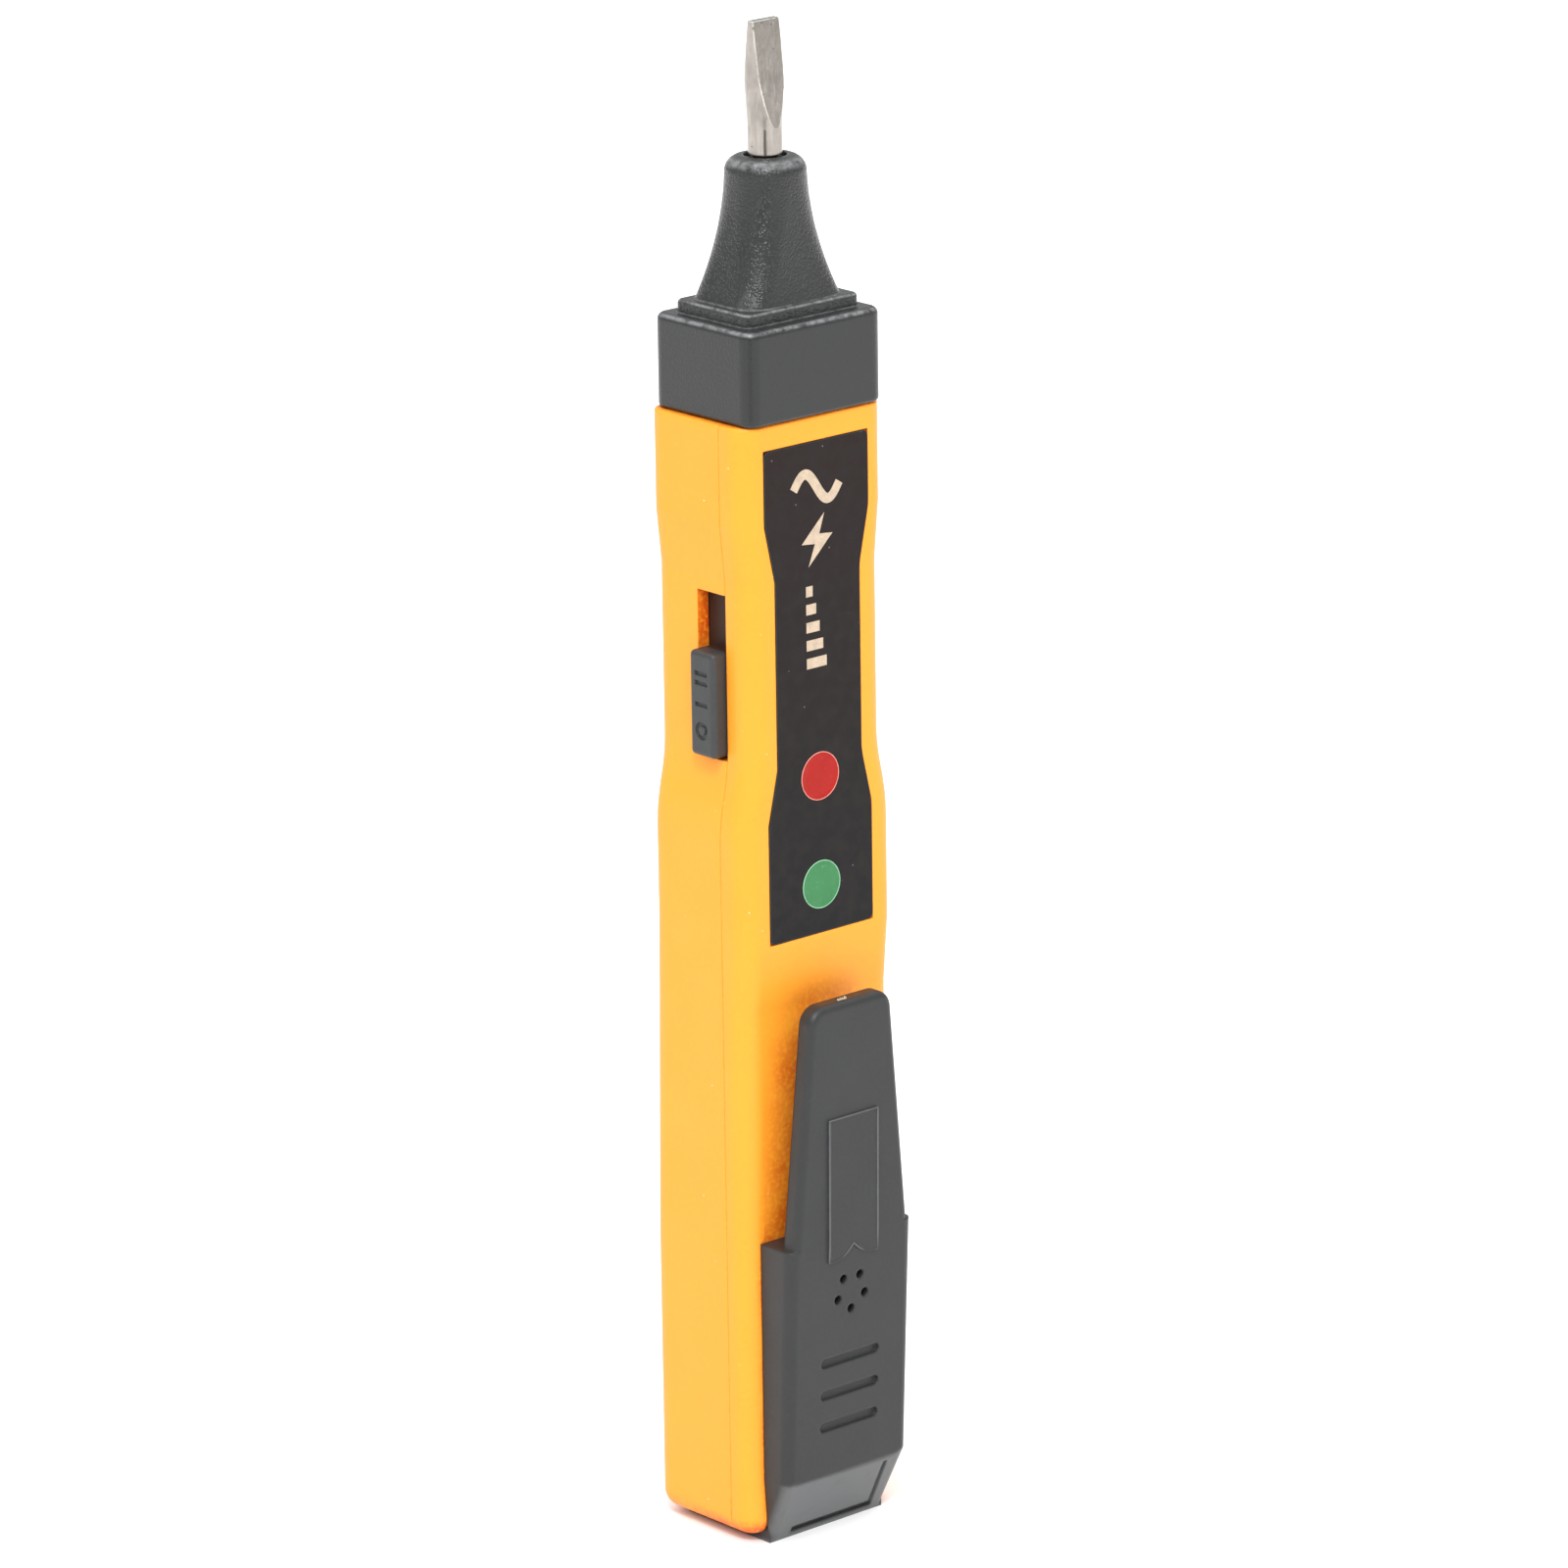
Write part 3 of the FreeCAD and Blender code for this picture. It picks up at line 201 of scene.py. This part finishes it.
def shade(color, factor):
    """The colour made lighter or darker."""
    return tuple(min(1.0, channel * factor) for channel in color)


def moulded(name, color, roughness, grain, depth, edge=0.00015, specks=0.0, mottle=0.06,
            specular=0.35, glint=None, painted_gap_shade=None, extra=None):
    """Moulded plastic: fine grain, slow mottling, lighter rubbed edges and a few bright specks.

    grain is the size and depth the height of its texture, edge the radius of its edges, specks
    how large the bright specks are and glint the size of coarse grains on the nose. The gap colour,
    if given, is painted shade: a deeper colour painted where ambient occlusion finds narrow gaps,
    standing in for the shade there. extra is a function that adds coats of its own.
    """
    made = Shader(name, color, roughness)
    made.main.inputs["Specular IOR Level"].default_value = specular
    # Painted shade: a deep orange painted where ambient occlusion finds narrow gaps, in place of
    # the shade that falls there.
    if painted_gap_shade:
        open_sky = made.node("AmbientOcclusion", samples=96)
        open_sky.inputs["Distance"].default_value = 6 * MM
        made.coat(made.between(open_sky.outputs["AO"], 0.80, 0.30), painted_gap_shade)
    near_edge = made.soft_edges(edge)
    made.coat(made.between(made.noise(0.006, 3), 0.35, 0.7), shade(color, 1 - mottle),
              roughness * 1.08)
    made.coat(made.between(made.noise(0.0005, 2), 0.45, 0.75), shade(color, 1 + mottle * 0.6))
    rubbed = made.times(near_edge, made.between(made.noise(0.0011, 4), 0.35, 0.65))
    made.coat(made.times(rubbed, 0.4), shade(color, 1.5), roughness * 0.75)
    if specks:
        dots = made.between(made.cells(0.0017), specks, specks * 0.5)
        bright = shade(color, 2.2) if max(color) < 0.5 else (1, 0.95, 0.8)
        made.coat(made.times(dots, made.between(made.noise(0.004, 1), 0.5, 0.6)), bright, 0.25)
    if extra:
        extra(made)
    made.bump(made.noise(grain, 3), depth)
    made.bump(made.noise(0.0028, 2), depth * 0.8, 0.5)
    if glint:
        grains = made.between(made.cells(glint), 0.0, 0.55)
        made.bump(made.times(grains, above_collar(made)), depth * 1.9, 0.8)
    return made.finish()


def above_collar(made):
    """1 on the step and flare of the nose, and little on the smoother collar."""
    return made.between(made.along("Z"), COLLAR_TOP - 0.4 * MM, COLLAR_TOP, 0.15, 1.0)


def below(made, level, soft=0.2 * MM):
    """1 under this height on the object, 0 above it."""
    return made.between(made.along("Z"), level + soft, level - soft)


def nose_tone_and_highlight(made):
    """The collar is darker, and the nose's upward-facing edges are smoother and carry a painted
    highlight: a paler colour standing in for the light from above that they catch.
    """
    made.coat(below(made, COLLAR_TOP - 0.4 * MM), shade(GREY, 0.58))
    # Painted highlight: edges facing upwards are painted pale, as if lit from above.
    upward = made.along("Z", made.rounded(0.4 * MM))
    rim = made.times(made.between(upward, 0.35, 0.6), made.between(upward, 0.95, 0.8))
    made.coat(made.times(rim, made.between(made.noise(0.0009, 4), 0.3, 0.6)),
              shade(GREY, 5.0), 0.28)


def bevel_painted_light(made):
    """The downward-facing facet under the door is smoother, and painted paler than the faces round
    it: painted light standing in for the light thrown up onto it from below.
    """
    facing_down = made.between(made.along("Z", made.rounded(0.8 * MM)), -0.12, -0.40)
    low = made.times(facing_down, below(made, 9 * MM, 0.4 * MM))
    # Painted light: downward-facing faces low on the door are painted paler, as if lit from below.
    made.coat(made.times(low, made.between(made.noise(0.002, 3), -0.6, 0.4)),
              shade(GREY, 3.25), 0.36)


def plate_painted_shade(made):
    """The knob's plate inside the slot is painted warm black, painted shade with a painted warm
    reflection of the slot's yellow walls; only the knob outside it is grey.
    """
    # Painted shade: the part of the knob behind the shell is painted warm black, tinted by a
    # painted reflection of the yellow walls.
    inside = made.between(made.along("X"), -9.2 * MM, -8.9 * MM)
    made.coat(inside, (0.030, 0.014, 0.008), 0.5)


def metal(name, color, roughness, drawn=(1, 1, 1), pits=0.0, edge=0.0001, bright=0.6,
          metallic=1.0):
    """Metal with lines drawn along its least stretched axis, stains, pits, and bright edges that
    are partly wear and partly painted highlight.
    """
    made = Shader(name, color, roughness, metallic)
    near_edge = made.soft_edges(edge)
    made.coat(made.between(made.noise(0.0016, 4), 0.4, 0.75), shade(color, 0.72), roughness * 1.3)
    made.coat(made.between(made.noise(0.00035, 3, drawn), 0.5, 0.8), shade(color, 1.25),
              roughness * 0.7)
    # Edge wear, and painted highlight: edges painted paler; with a high bright, as on the blade,
    # they stand in for the glints along its edges.
    wear_and_highlight = made.times(near_edge, made.between(made.noise(0.0008, 3), 0.3, 0.5))
    made.coat(made.times(wear_and_highlight, bright), shade(color, 1 + bright), roughness * 0.6)
    if pits:
        made.coat(made.between(made.cells(0.0009), pits, pits * 0.4), shade(color, 0.2), 0.6)
    made.bump(made.noise(0.00022, 3, drawn), 0.00001)
    return made.finish()


# Materials --------------------------------------------------------------------------------------

YELLOW = (0.97, 0.345, 0.023)
GREY = (0.036, 0.0372, 0.038)
NICKEL = (0.36, 0.33, 0.30)
BEIGE = (0.55, 0.43, 0.31)


def lens(name, color):
    """Tinted window: glossy, slightly clear, with moulding flow marks."""
    made = Shader(name, color, 0.28)
    made.main.inputs["Specular IOR Level"].default_value = 0.15
    made.main.inputs["Subsurface Weight"].default_value = 0.25
    made.main.inputs["Subsurface Radius"].default_value = (0.001, 0.001, 0.001)
    made.coat(made.between(made.noise(0.0024, 3), 0.4, 0.7), shade(color, 0.86), 0.36)
    made.coat(made.between(made.noise(0.0004, 2), 0.62, 0.72), shade(color, 1.2))
    made.bump(made.noise(0.0003, 2), 0.000006)
    return made.finish()


def label_film():
    """Dark printed film: brown-black above, cooler below, with faint mottling."""
    color = (0.0165, 0.0095, 0.0088)
    made = Shader("label_film", color, 0.45)
    made.main.inputs["Specular IOR Level"].default_value = 0.15
    low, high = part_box("label_plate")
    made.coat(made.between(made.along("Z"), high[2], low[2]), (0.0095, 0.0092, 0.0102))
    made.coat(made.between(made.noise(0.0015, 4), 0.4, 0.75), (0.018, 0.0145, 0.014), 0.5)
    made.coat(made.between(made.cells(0.0021), 0.05, 0.02), (0.20, 0.16, 0.15), 0.3)
    made.bump(made.noise(0.0002, 2), 0.000004)
    return made.finish()


def print_ink():
    """Beige ink of uneven density."""
    made = Shader("print_ink", BEIGE, 0.5)
    made.coat(made.between(made.noise(0.0008, 4), 0.4, 0.7), shade(BEIGE, 0.82), 0.55)
    made.coat(made.between(made.noise(0.00025, 2), 0.6, 0.75), shade(BEIGE, 1.15))
    made.bump(made.noise(0.0002, 3), 0.000004)
    return made.finish()


def circuit_resin():
    """Green solder mask with brighter copper tracks under it."""
    color = (0.02, 0.16, 0.06)
    made = Shader("board_resin", color, 0.35)
    tracks = made.node("TexBrick")
    made.link(made.stretched((1, 0.0, 1)), tracks.inputs["Vector"])
    tracks.inputs["Scale"].default_value = 220
    tracks.inputs["Mortar Size"].default_value = 0.04
    made.coat(tracks.outputs["Fac"], (0.05, 0.30, 0.11), 0.3)
    made.coat(made.between(made.noise(0.0015, 3), 0.45, 0.7), (0.015, 0.12, 0.05))
    made.bump(tracks.outputs["Fac"], 0.00003)
    return made.finish()


def cell_jacket():
    """Printed foil jacket: blue body, a silver band near the button, fine scuffs."""
    color = (0.03, 0.07, 0.26)
    made = Shader("cell_jacket", color, 0.3)
    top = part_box("battery")[1][2]
    band = made.between(made.along("Z"), top - 8.6 * MM, top - 8.4 * MM)
    made.coat(band, (0.45, 0.45, 0.46), 0.25)
    scuffs = made.between(made.noise(0.0012, 4, (1, 1, 0.2)), 0.55, 0.75)
    made.coat(scuffs, (0.10, 0.14, 0.32), 0.45)
    made.bump(made.noise(0.0004, 3), 0.000008)
    return made.finish()


materials = {
    # The yellow plastic's gap colour is painted shade: deep orange in narrow gaps, such as beside
    # the clip.
    "yellow_plastic": moulded("yellow_plastic", YELLOW, 0.42, 0.00035, 0.000006,
                              edge=0.0002, specks=0.05, mottle=0.03,
                              painted_gap_shade=(0.72, 0.07, 0.002)),
    "grey_plastic": moulded("grey_plastic", shade(GREY, 0.74), 0.25, 0.00022, 0.000035,
                            edge=0.0003, specks=0.07, mottle=0.14, glint=0.0003, specular=0.4,
                            extra=nose_tone_and_highlight),
    "door_plastic": moulded("door_plastic", shade(GREY, 0.75), 0.40, 0.0003, 0.000012, edge=0.0004,
                            specks=0.04, mottle=0.08, extra=bevel_painted_light),
    # Pale plastic for the bead round the clip's raised panel: a painted highlight along the panel's
    # edges.
    "rim_highlight_plastic": moulded("rim_highlight_plastic", shade(GREY, 2.8), 0.3, 0.0002, 0.00001),
    "knob_plastic": moulded("knob_plastic", shade(GREY, 1.15), 0.42, 0.0003, 0.000012, edge=0.0002,
                            mottle=0.08, extra=plate_painted_shade),
    # The blade's bright edges, at bright=2.0, are painted highlights along its edges.
    "blade_steel": metal("blade_steel", NICKEL, 0.16, (1, 1, 0.15), 0.12, 0.00014, 2.0, 0.9),
    "label_film": label_film(),
    "red_lens": lens("red_lens", (0.38, 0.014, 0.010)),
    "green_lens": lens("green_lens", (0.055, 0.215, 0.085)),
    "led_resin": moulded("led_resin", (0.80, 0.80, 0.74), 0.2, 0.0003, 0.000005),
    "board_resin": circuit_resin(),
    "chip_resin": moulded("chip_resin", (0.02, 0.02, 0.021), 0.5, 0.0002, 0.00001, specks=0.06),
    "capacitor_ceramic": moulded("capacitor_ceramic", (0.42, 0.28, 0.16), 0.4, 0.0002, 0.000008),
    "screw_steel": metal("screw_steel", (0.55, 0.55, 0.54), 0.3),
    "contact_nickel": metal("contact_nickel", (0.60, 0.57, 0.52), 0.28, (1, 1, 0.2)),
    "switch_can": metal("switch_can", (0.55, 0.55, 0.54), 0.35, (1, 1, 0.15)),
    "lever_plastic": moulded("lever_plastic", (0.02, 0.02, 0.02), 0.45, 0.0002, 0.00001),
    "cell_jacket": cell_jacket(),
    "disc_brass": metal("disc_brass", (0.72, 0.52, 0.22), 0.3, (1, 1, 1), 0.1),
    "disc_ceramic": moulded("disc_ceramic", (0.76, 0.74, 0.69), 0.35, 0.0003, 0.000006),
    "lead_red": moulded("lead_red", (0.50, 0.02, 0.02), 0.4, 0.0003, 0.000008),
    "lead_black": moulded("lead_black", (0.02, 0.02, 0.02), 0.4, 0.0003, 0.000008),
    "print_ink": print_ink(),
    "torn_plastic": moulded("torn_plastic", (0.45, 0.36, 0.24), 0.35, 0.0001, 0.00002),
    # Pale lens colours for the rings round the lights: painted highlights.
    "red_edge": lens("red_edge", (0.80, 0.30, 0.24)),
    "green_edge": lens("green_edge", (0.30, 0.62, 0.38)),
}
for part in frame["record"]["subparts"]:
    for place in nodes[part["node"]].material_slots:
        place.material = materials[part["material_slot"]]
nodes["switch_knob"].material_slots[0].material = materials["knob_plastic"]


# Mesh helpers -----------------------------------------------------------------------------------

def placed(name, data):
    """A new object in the scene."""
    made = bpy.data.objects.new(name, data)
    scene.collection.objects.link(made)
    return made


def add_piece(name, mesh, body, slot):
    """A visible piece in a material, riding a body if one is given."""
    piece = placed(name, mesh)
    mesh.materials.clear()
    mesh.materials.append(materials[slot])
    if body:
        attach(piece, body)
    return piece


def finished(name, work):
    """The mesh of a bmesh, which is freed."""
    mesh = bpy.data.meshes.new(name)
    work.to_mesh(mesh)
    work.free()
    return mesh


def flat_sheet(name, corners):
    """A mesh of one face."""
    work = bmesh.new()
    work.faces.new([work.verts.new(corner) for corner in corners])
    return finished(name, work)


def circle(centre, radius, count):
    """Points (x, z) round a centre."""
    turns = (2 * math.pi * i / count for i in range(count))
    return [(centre[0] + radius * math.cos(turn), centre[1] + radius * math.sin(turn))
            for turn in turns]


def evaluated(piece):
    """A plain mesh of the piece with its modifiers applied."""
    bpy.context.view_layer.update()
    graph = bpy.context.evaluated_depsgraph_get()
    return bpy.data.meshes.new_from_object(piece.evaluated_get(graph), depsgraph=graph)


def shade_by_angle(mesh, degrees):
    """Smooth shading, with sharp edges where faces meet at more than the angle."""
    work = bmesh.new()
    work.from_mesh(mesh)
    bmesh.ops.remove_doubles(work, verts=work.verts, dist=2e-6)
    bmesh.ops.recalc_face_normals(work, faces=work.faces)
    for face in work.faces:
        face.smooth = True
    for edge in work.edges:
        edge.smooth = edge.calc_face_angle(math.pi) < math.radians(degrees)
    work.to_mesh(mesh)
    work.free()


def outline_slab(outline, front, back):
    """A slab with this X-Z outline between two Y levels."""
    work = bmesh.new()
    rim = [work.verts.new((x, front, z)) for x, z in outline]
    face = work.faces.new(rim)
    extruded = bmesh.ops.extrude_face_region(work, geom=[face])
    moved = [v for v in extruded["geom"] if isinstance(v, bmesh.types.BMVert)]
    bmesh.ops.translate(work, verts=moved, vec=(0, back - front, 0))
    bmesh.ops.recalc_face_normals(work, faces=work.faces)
    return finished("slab", work)


def stroke(points, width):
    """Outline of a line of this width along the points, with square ends."""
    left, right = [], []
    for i, (x, z) in enumerate(points):
        back = points[max(i - 1, 0)]
        ahead = points[min(i + 1, len(points) - 1)]
        along = Vector((ahead[0] - back[0], ahead[1] - back[1])).normalized()
        side = Vector((-along.y, along.x)) * width / 2
        left.append((x + side.x, z + side.y))
        right.append((x - side.x, z - side.y))
    return left + right[::-1]


def joined(meshes):
    """One mesh of several."""
    work = bmesh.new()
    for mesh in meshes:
        work.from_mesh(mesh)
    return finished("joined", work)


def tube(name, points, radius):
    """A round bead of this radius along a closed line of points."""
    curve = bpy.data.curves.new(name, "CURVE")
    curve.dimensions = "3D"
    curve.bevel_depth = radius
    curve.bevel_resolution = 3
    spline = curve.splines.new("POLY")
    spline.points.add(len(points) - 1)
    for point, (x, y, z) in zip(spline.points, points):
        point.co = (x, y, z, 1)
    spline.use_cyclic_u = True
    holder = placed(name, curve)
    mesh = evaluated(holder)
    bpy.data.objects.remove(holder)
    shade_by_angle(mesh, 60)
    return mesh


def lathe(profile, centre, segments=72):
    """A round piece about the Y axis through centre, from (radius, depth) points."""
    work = bmesh.new()
    rings = []
    for radius, depth in profile:
        if radius == 0:
            rings.append([work.verts.new((centre[0], depth, centre[1]))])
            continue
        ring = circle(centre, radius, segments)
        rings.append([work.verts.new((x, depth, z)) for x, z in ring])
    for first, second in zip(rings, rings[1:]):
        for i in range(segments):
            j = (i + 1) % segments
            corners = [first[i % len(first)], first[j % len(first)],
                       second[j % len(second)], second[i % len(second)]]
            corners = list(dict.fromkeys(corners))
            if len(corners) > 2:
                work.faces.new(corners)
    bmesh.ops.recalc_face_normals(work, faces=work.faces)
    mesh = finished("lathe", work)
    shade_by_angle(mesh, 35)
    return mesh


def front_edge(node):
    """The longest closed edge of a node's front face, as a list of points."""
    work = bmesh.new()
    work.from_mesh(nodes[node].data)
    bmesh.ops.remove_doubles(work, verts=work.verts, dist=1e-6)
    level = min(v.co.y for v in work.verts)
    faces = {f for f in work.faces if all(abs(v.co.y - level) < 2e-6 for v in f.verts)}
    rim = [e for e in work.edges if len(faces.intersection(e.link_faces)) == 1]
    loops = []
    while rim:
        edge = rim.pop()
        start, here = edge.verts
        loop = [start.co.copy()]
        while here is not start:
            loop.append(here.co.copy())
            ahead = next(e for e in here.link_edges if e in rim)
            rim.remove(ahead)
            here = ahead.other_vert(here)
        loops.append(loop)
    work.free()
    return max(loops, key=lambda loop: sum((a - b).length for a, b in zip(loop, loop[1:])))


# The battery door and its clip: one moulding ----------------------------------------------------

def panel_level(height):
    """Y of the raised panel's face on the door and the clip arm."""
    edge, root, tip = CLIP_PROFILE
    (low, first), (high, last) = (edge, root) if height <= root[0] else (root, tip)
    raised = 0.19 * MM
    return first + (last - first) * (height - low) / (high - low) - raised


def ribbon_outline():
    """Edge of the ribbon-shaped panel with two scallops below, points at most 0.5 mm apart in Z."""
    half, top, low, peak = 3.35 * MM, 46.8 * MM, 31.2 * MM, 32.7 * MM
    spacing = 0.5 * MM
    corners = [(-half, low), (-half, top), (half, top), (half, low)]
    for sign in (1, -1):
        for i in range(1, 10):
            share = i / 10 if sign > 0 else 1 - i / 10
            sag = 0.42 * MM * math.sin(math.pi * share)
            corners.append((sign * half * (1 - share) - sign * sag * 0.4,
                            low + (peak - low) * share - sag))
        if sign > 0:
            corners.append((0, peak))
    points = []
    for (x, z), (x2, z2) in zip(corners, corners[1:] + corners[:1]):
        steps = max(1, math.ceil(abs(z2 - z) / spacing))
        for i in range(steps):
            height = z + (z2 - z) * i / steps
            points.append((x + (x2 - x) * i / steps, panel_level(height), height))
    return points


def moulding():
    """Door and clip arm united, and cut into strips across the clip's root, where the arm bends."""
    door = placed("door_copy", nodes["battery_door"].data.copy())
    arm = placed("arm_copy", nodes["clip_arm"].data.copy())
    root = min(v.co.z for v in arm.data.vertices)
    front = CLIP_PROFILE[0][1]
    top = max(v.co.z for v in door.data.vertices if v.co.y < front)
    for vertex in arm.data.vertices:
        if vertex.co.z < root + 1e-6:
            vertex.co.z = top - 0.2 * MM  # the arm's root reaches into the door
    for copy in (door, arm):
        shade_by_angle(copy.data, 30)
    union = door.modifiers.new("union", "BOOLEAN")
    union.operation = "UNION"
    union.solver = "EXACT"
    union.object = arm
    mesh = evaluated(door)
    for copy in (door, arm):
        bpy.data.objects.remove(copy)
    work = bmesh.new()
    work.from_mesh(mesh)
    bmesh.ops.remove_doubles(work, verts=work.verts, dist=1e-6)
    strips = 8
    for step in range(strips + 1):
        height = BEND_LOW + (BEND_HIGH - BEND_LOW) * step / strips
        bmesh.ops.bisect_plane(work, geom=work.verts[:] + work.edges[:] + work.faces[:],
                               plane_co=(0, 0, height), plane_no=(0, 0, 1), dist=1e-6)
    work.to_mesh(mesh)
    work.free()
    shade_by_angle(mesh, 30)
    # The bead round the raised panel is painted pale: a painted highlight along its edges.
    first_of_rim = len(mesh.polygons)
    mesh = joined([mesh, tube("rim", ribbon_outline(), 0.1 * MM)])
    piece = add_piece("door_and_clip", mesh, None, "door_plastic")
    mesh.materials.append(materials["rim_highlight_plastic"])
    for face in mesh.polygons[first_of_rim:]:
        face.material_index = 1
    weighted = piece.modifiers.new("weighted", "WEIGHTED_NORMAL")
    weighted.keep_sharp = True
    piece.data = evaluated(piece)
    piece.modifiers.clear()
    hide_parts("battery_door", "clip_arm")
    face = CLIP_PROFILE[1][1]
    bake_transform(piece)


def gate_stub():
    """Torn, pale stub of the mould gate on the clip's free end: a strip with a ragged top."""
    low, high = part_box("clip_arm")
    front, base = low[1], high[2] - 0.24 * MM
    sunk = 0.14 * MM  # how much of the strip is inside the clip
    work = bmesh.new()
    rows = []
    for i in range(12):
        x = (-1.25 + i * 0.11) * MM
        tall = (0.10 + 0.09 * math.sin(i * 2.3) + 0.05 * math.sin(i * 5.1)) * MM
        lean = 0.05 * math.sin(i * 1.7) * MM
        section = ((0.8 * MM, 0), (0.9 * MM + lean, tall + sunk),
                   (1.0 * MM + lean, tall * 0.7 + sunk), (1.1 * MM, 0))
        rows.append([work.verts.new((x, front + depth, base + up)) for depth, up in section])
    for first, second in zip(rows, rows[1:]):
        for i in range(4):
            j = (i + 1) % 4
            work.faces.new((first[i], first[j], second[j], second[i]))
    work.faces.new(rows[0][::-1])
    work.faces.new(rows[-1])
    bmesh.ops.recalc_face_normals(work, faces=work.faces)
    add_piece("gate_stub", finished("gate", work), "clip", "torn_plastic")


# Label print, edge and light windows ------------------------------------------------------------

def label_trim():
    """A thin dark edge round the label, and on each light a domed window and a pale ring, which is
    a painted highlight round the window's edge.
    """
    sunk = Vector((0, 0.02 * MM, 0))
    edge = tube("label_edge", [point + sunk for point in front_edge("label_plate")], 0.06 * MM)
    add_piece("label_edge", edge, "case", "chip_resin")
    # The window's section, in millimetres: radius, and depth behind the lens's front.
    dome = ((0, -0.03), (1.0, -0.027), (1.8, -0.016), (2.25, -0.004),
            (2.36, -0.04), (2.46, -0.03), (2.5, 0.05), (2.5, 0.3))
    for name in ("red", "green"):
        low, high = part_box(f"{name}_lens")
        centre = ((low[0] + high[0]) / 2, (low[2] + high[2]) / 2)
        front = low[1]
        crown = lathe([(radius * MM, front + depth * MM) for radius, depth in dome], centre)
        add_piece(f"{name}_window", crown, "case", f"{name}_lens")
        # The pale ring is a painted highlight round the window's edge.
        ring = [(x, front - 0.01 * MM, z) for x, z in circle(centre, 2.52 * MM, 64)]
        add_piece(f"{name}_rim", tube(f"{name}_rim", ring, 0.05 * MM), "case", f"{name}_edge")


def label_print():
    """Plain icons in place of the print: a wave, a bolt and a row of rising bars."""
    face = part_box("label_plate")[0][1]
    thick = 0.02 * MM
    wave = [(6.2 * (i / 48 - 0.5), 112.9 + 1.5 * math.sin(2 * math.pi * i / 48)) for i in range(49)]
    bolt = [(1.0, 110.0), (-2.1, 107.1), (-0.3, 106.9), (-1.2, 104.6), (2.1, 107.7), (0.3, 107.9)]
    outlines = [stroke(wave, 1.05), bolt]
    for i in range(5):
        left, top = -1.6, 102.6 - i * 1.9
        right, bottom = left + 0.9 + 0.45 * i, top - 1.1
        outlines.append([(left, top), (right, top), (right, bottom), (left, bottom)])
    meshes = [outline_slab([(x * MM, z * MM) for x, z in outline], face - thick, face + thick)
              for outline in outlines]
    add_piece("label_print", joined(meshes), "case", "print_ink")


# Floor, light and camera ------------------------------------------------------------------------

def floor():
    """Plain pale paper."""
    made = Shader("floor_paper", (0.93, 0.93, 0.93), 0.9)
    made.coat(made.between(made.noise(0.05, 3), 0.3, 0.7), (0.925, 0.925, 0.922))
    made.bump(made.noise(0.002, 2), 0.00001)
    made.main.inputs["Specular IOR Level"].default_value = 0.0
    half = 6.0
    sheet = placed("floor", flat_sheet("floor", ((-half, -half, 0), (half, -half, 0),
                                                 (half, half, 0), (-half, half, 0))))
    sheet.data.materials.append(made.finish())


def black_card():
    """Dark card between the soft lights: it shows only as a line in the bright metal."""
    toward = Vector((-0.662, -0.749, 0))
    side = Vector((0.749, -0.662, 0))
    distance, half, tall = 0.5, 0.08, 0.3
    card = placed("black_card", flat_sheet("black_card", [
        toward * distance + side * x + Vector((0, 0, z))
        for x, z in ((-half, 0), (half, 0), (half, tall), (-half, tall))]))
    card.data.materials.append(materials["lead_black"])
    card.visible_camera = False
    card.visible_diffuse = False
    card.visible_shadow = False


def sun(name, energy, spread, toward):
    """A sun lamp in this direction, spread degrees across."""
    lamp = bpy.data.lights.new(name, "SUN")
    lamp.energy = energy
    lamp.angle = math.radians(spread)
    placed(name, lamp).rotation_euler = Vector(toward).to_track_quat("Z", "Y").to_euler()


def studio():
    """Bright tent above, dimmer towards the horizon, a broad soft light and a small one."""
    world = bpy.data.worlds.new("studio")
    scene.world = world
    world.use_nodes = True
    tree = world.node_tree
    back = tree.nodes["Background"]
    direction = tree.nodes.new("ShaderNodeTexCoord")
    split = tree.nodes.new("ShaderNodeSeparateXYZ")
    ramp = tree.nodes.new("ShaderNodeValToRGB")
    tree.links.new(direction.outputs["Generated"], split.inputs[0])
    tree.links.new(split.outputs["Z"], ramp.inputs["Fac"])
    steps = ramp.color_ramp.elements
    for step, place, level in ((steps[0], 0.0, 0.28), (steps[1], 1.0, 1.0)):
        step.position = place
        step.color = (level, level, level, 1)
    for place, level in ((0.55, 0.32), (0.85, 0.98)):
        steps.new(place).color = (level, level, level, 1)
    tree.links.new(ramp.outputs["Color"], back.inputs["Color"])
    back.inputs["Strength"].default_value = 2.0
    sun("key", 1.35, 38, (-0.50, -0.62, 0.70))
    sun("glint", 0.9, 5, (-0.42, -0.47, 0.78))
    black_card()


def camera():
    """Long lens, to the left of the front and a little above, turned slightly."""
    azimuth, elevation, roll = (math.radians(angle) for angle in (-41.47, 16.49, -0.83))
    distance, across, aim = 841.68 * MM, 0.98 * MM, 79.91 * MM
    back = Vector((math.sin(azimuth) * math.cos(elevation),
                   -math.cos(azimuth) * math.cos(elevation), math.sin(elevation)))
    level = Vector((math.cos(azimuth), math.sin(azimuth), 0))
    upright = back.cross(level)
    right = level * math.cos(roll) + upright * math.sin(roll)
    up = upright * math.cos(roll) - level * math.sin(roll)
    place = back * distance + level * across + Vector((0, 0, aim))
    view = bpy.data.cameras.new("camera")
    view.lens = 187.4
    view.sensor_width = 36
    view.clip_start = 0.05
    view.clip_end = 60
    eye = placed("camera", view)
    turned = Matrix((right, up, back)).transposed().to_4x4()
    eye.matrix_world = Matrix.Translation(place) @ turned
    scene.camera = eye


moulding()
gate_stub()
label_trim()
label_print()
floor()
studio()
camera()
scene.view_settings.view_transform = "Standard"
scene.cycles.use_denoising = True
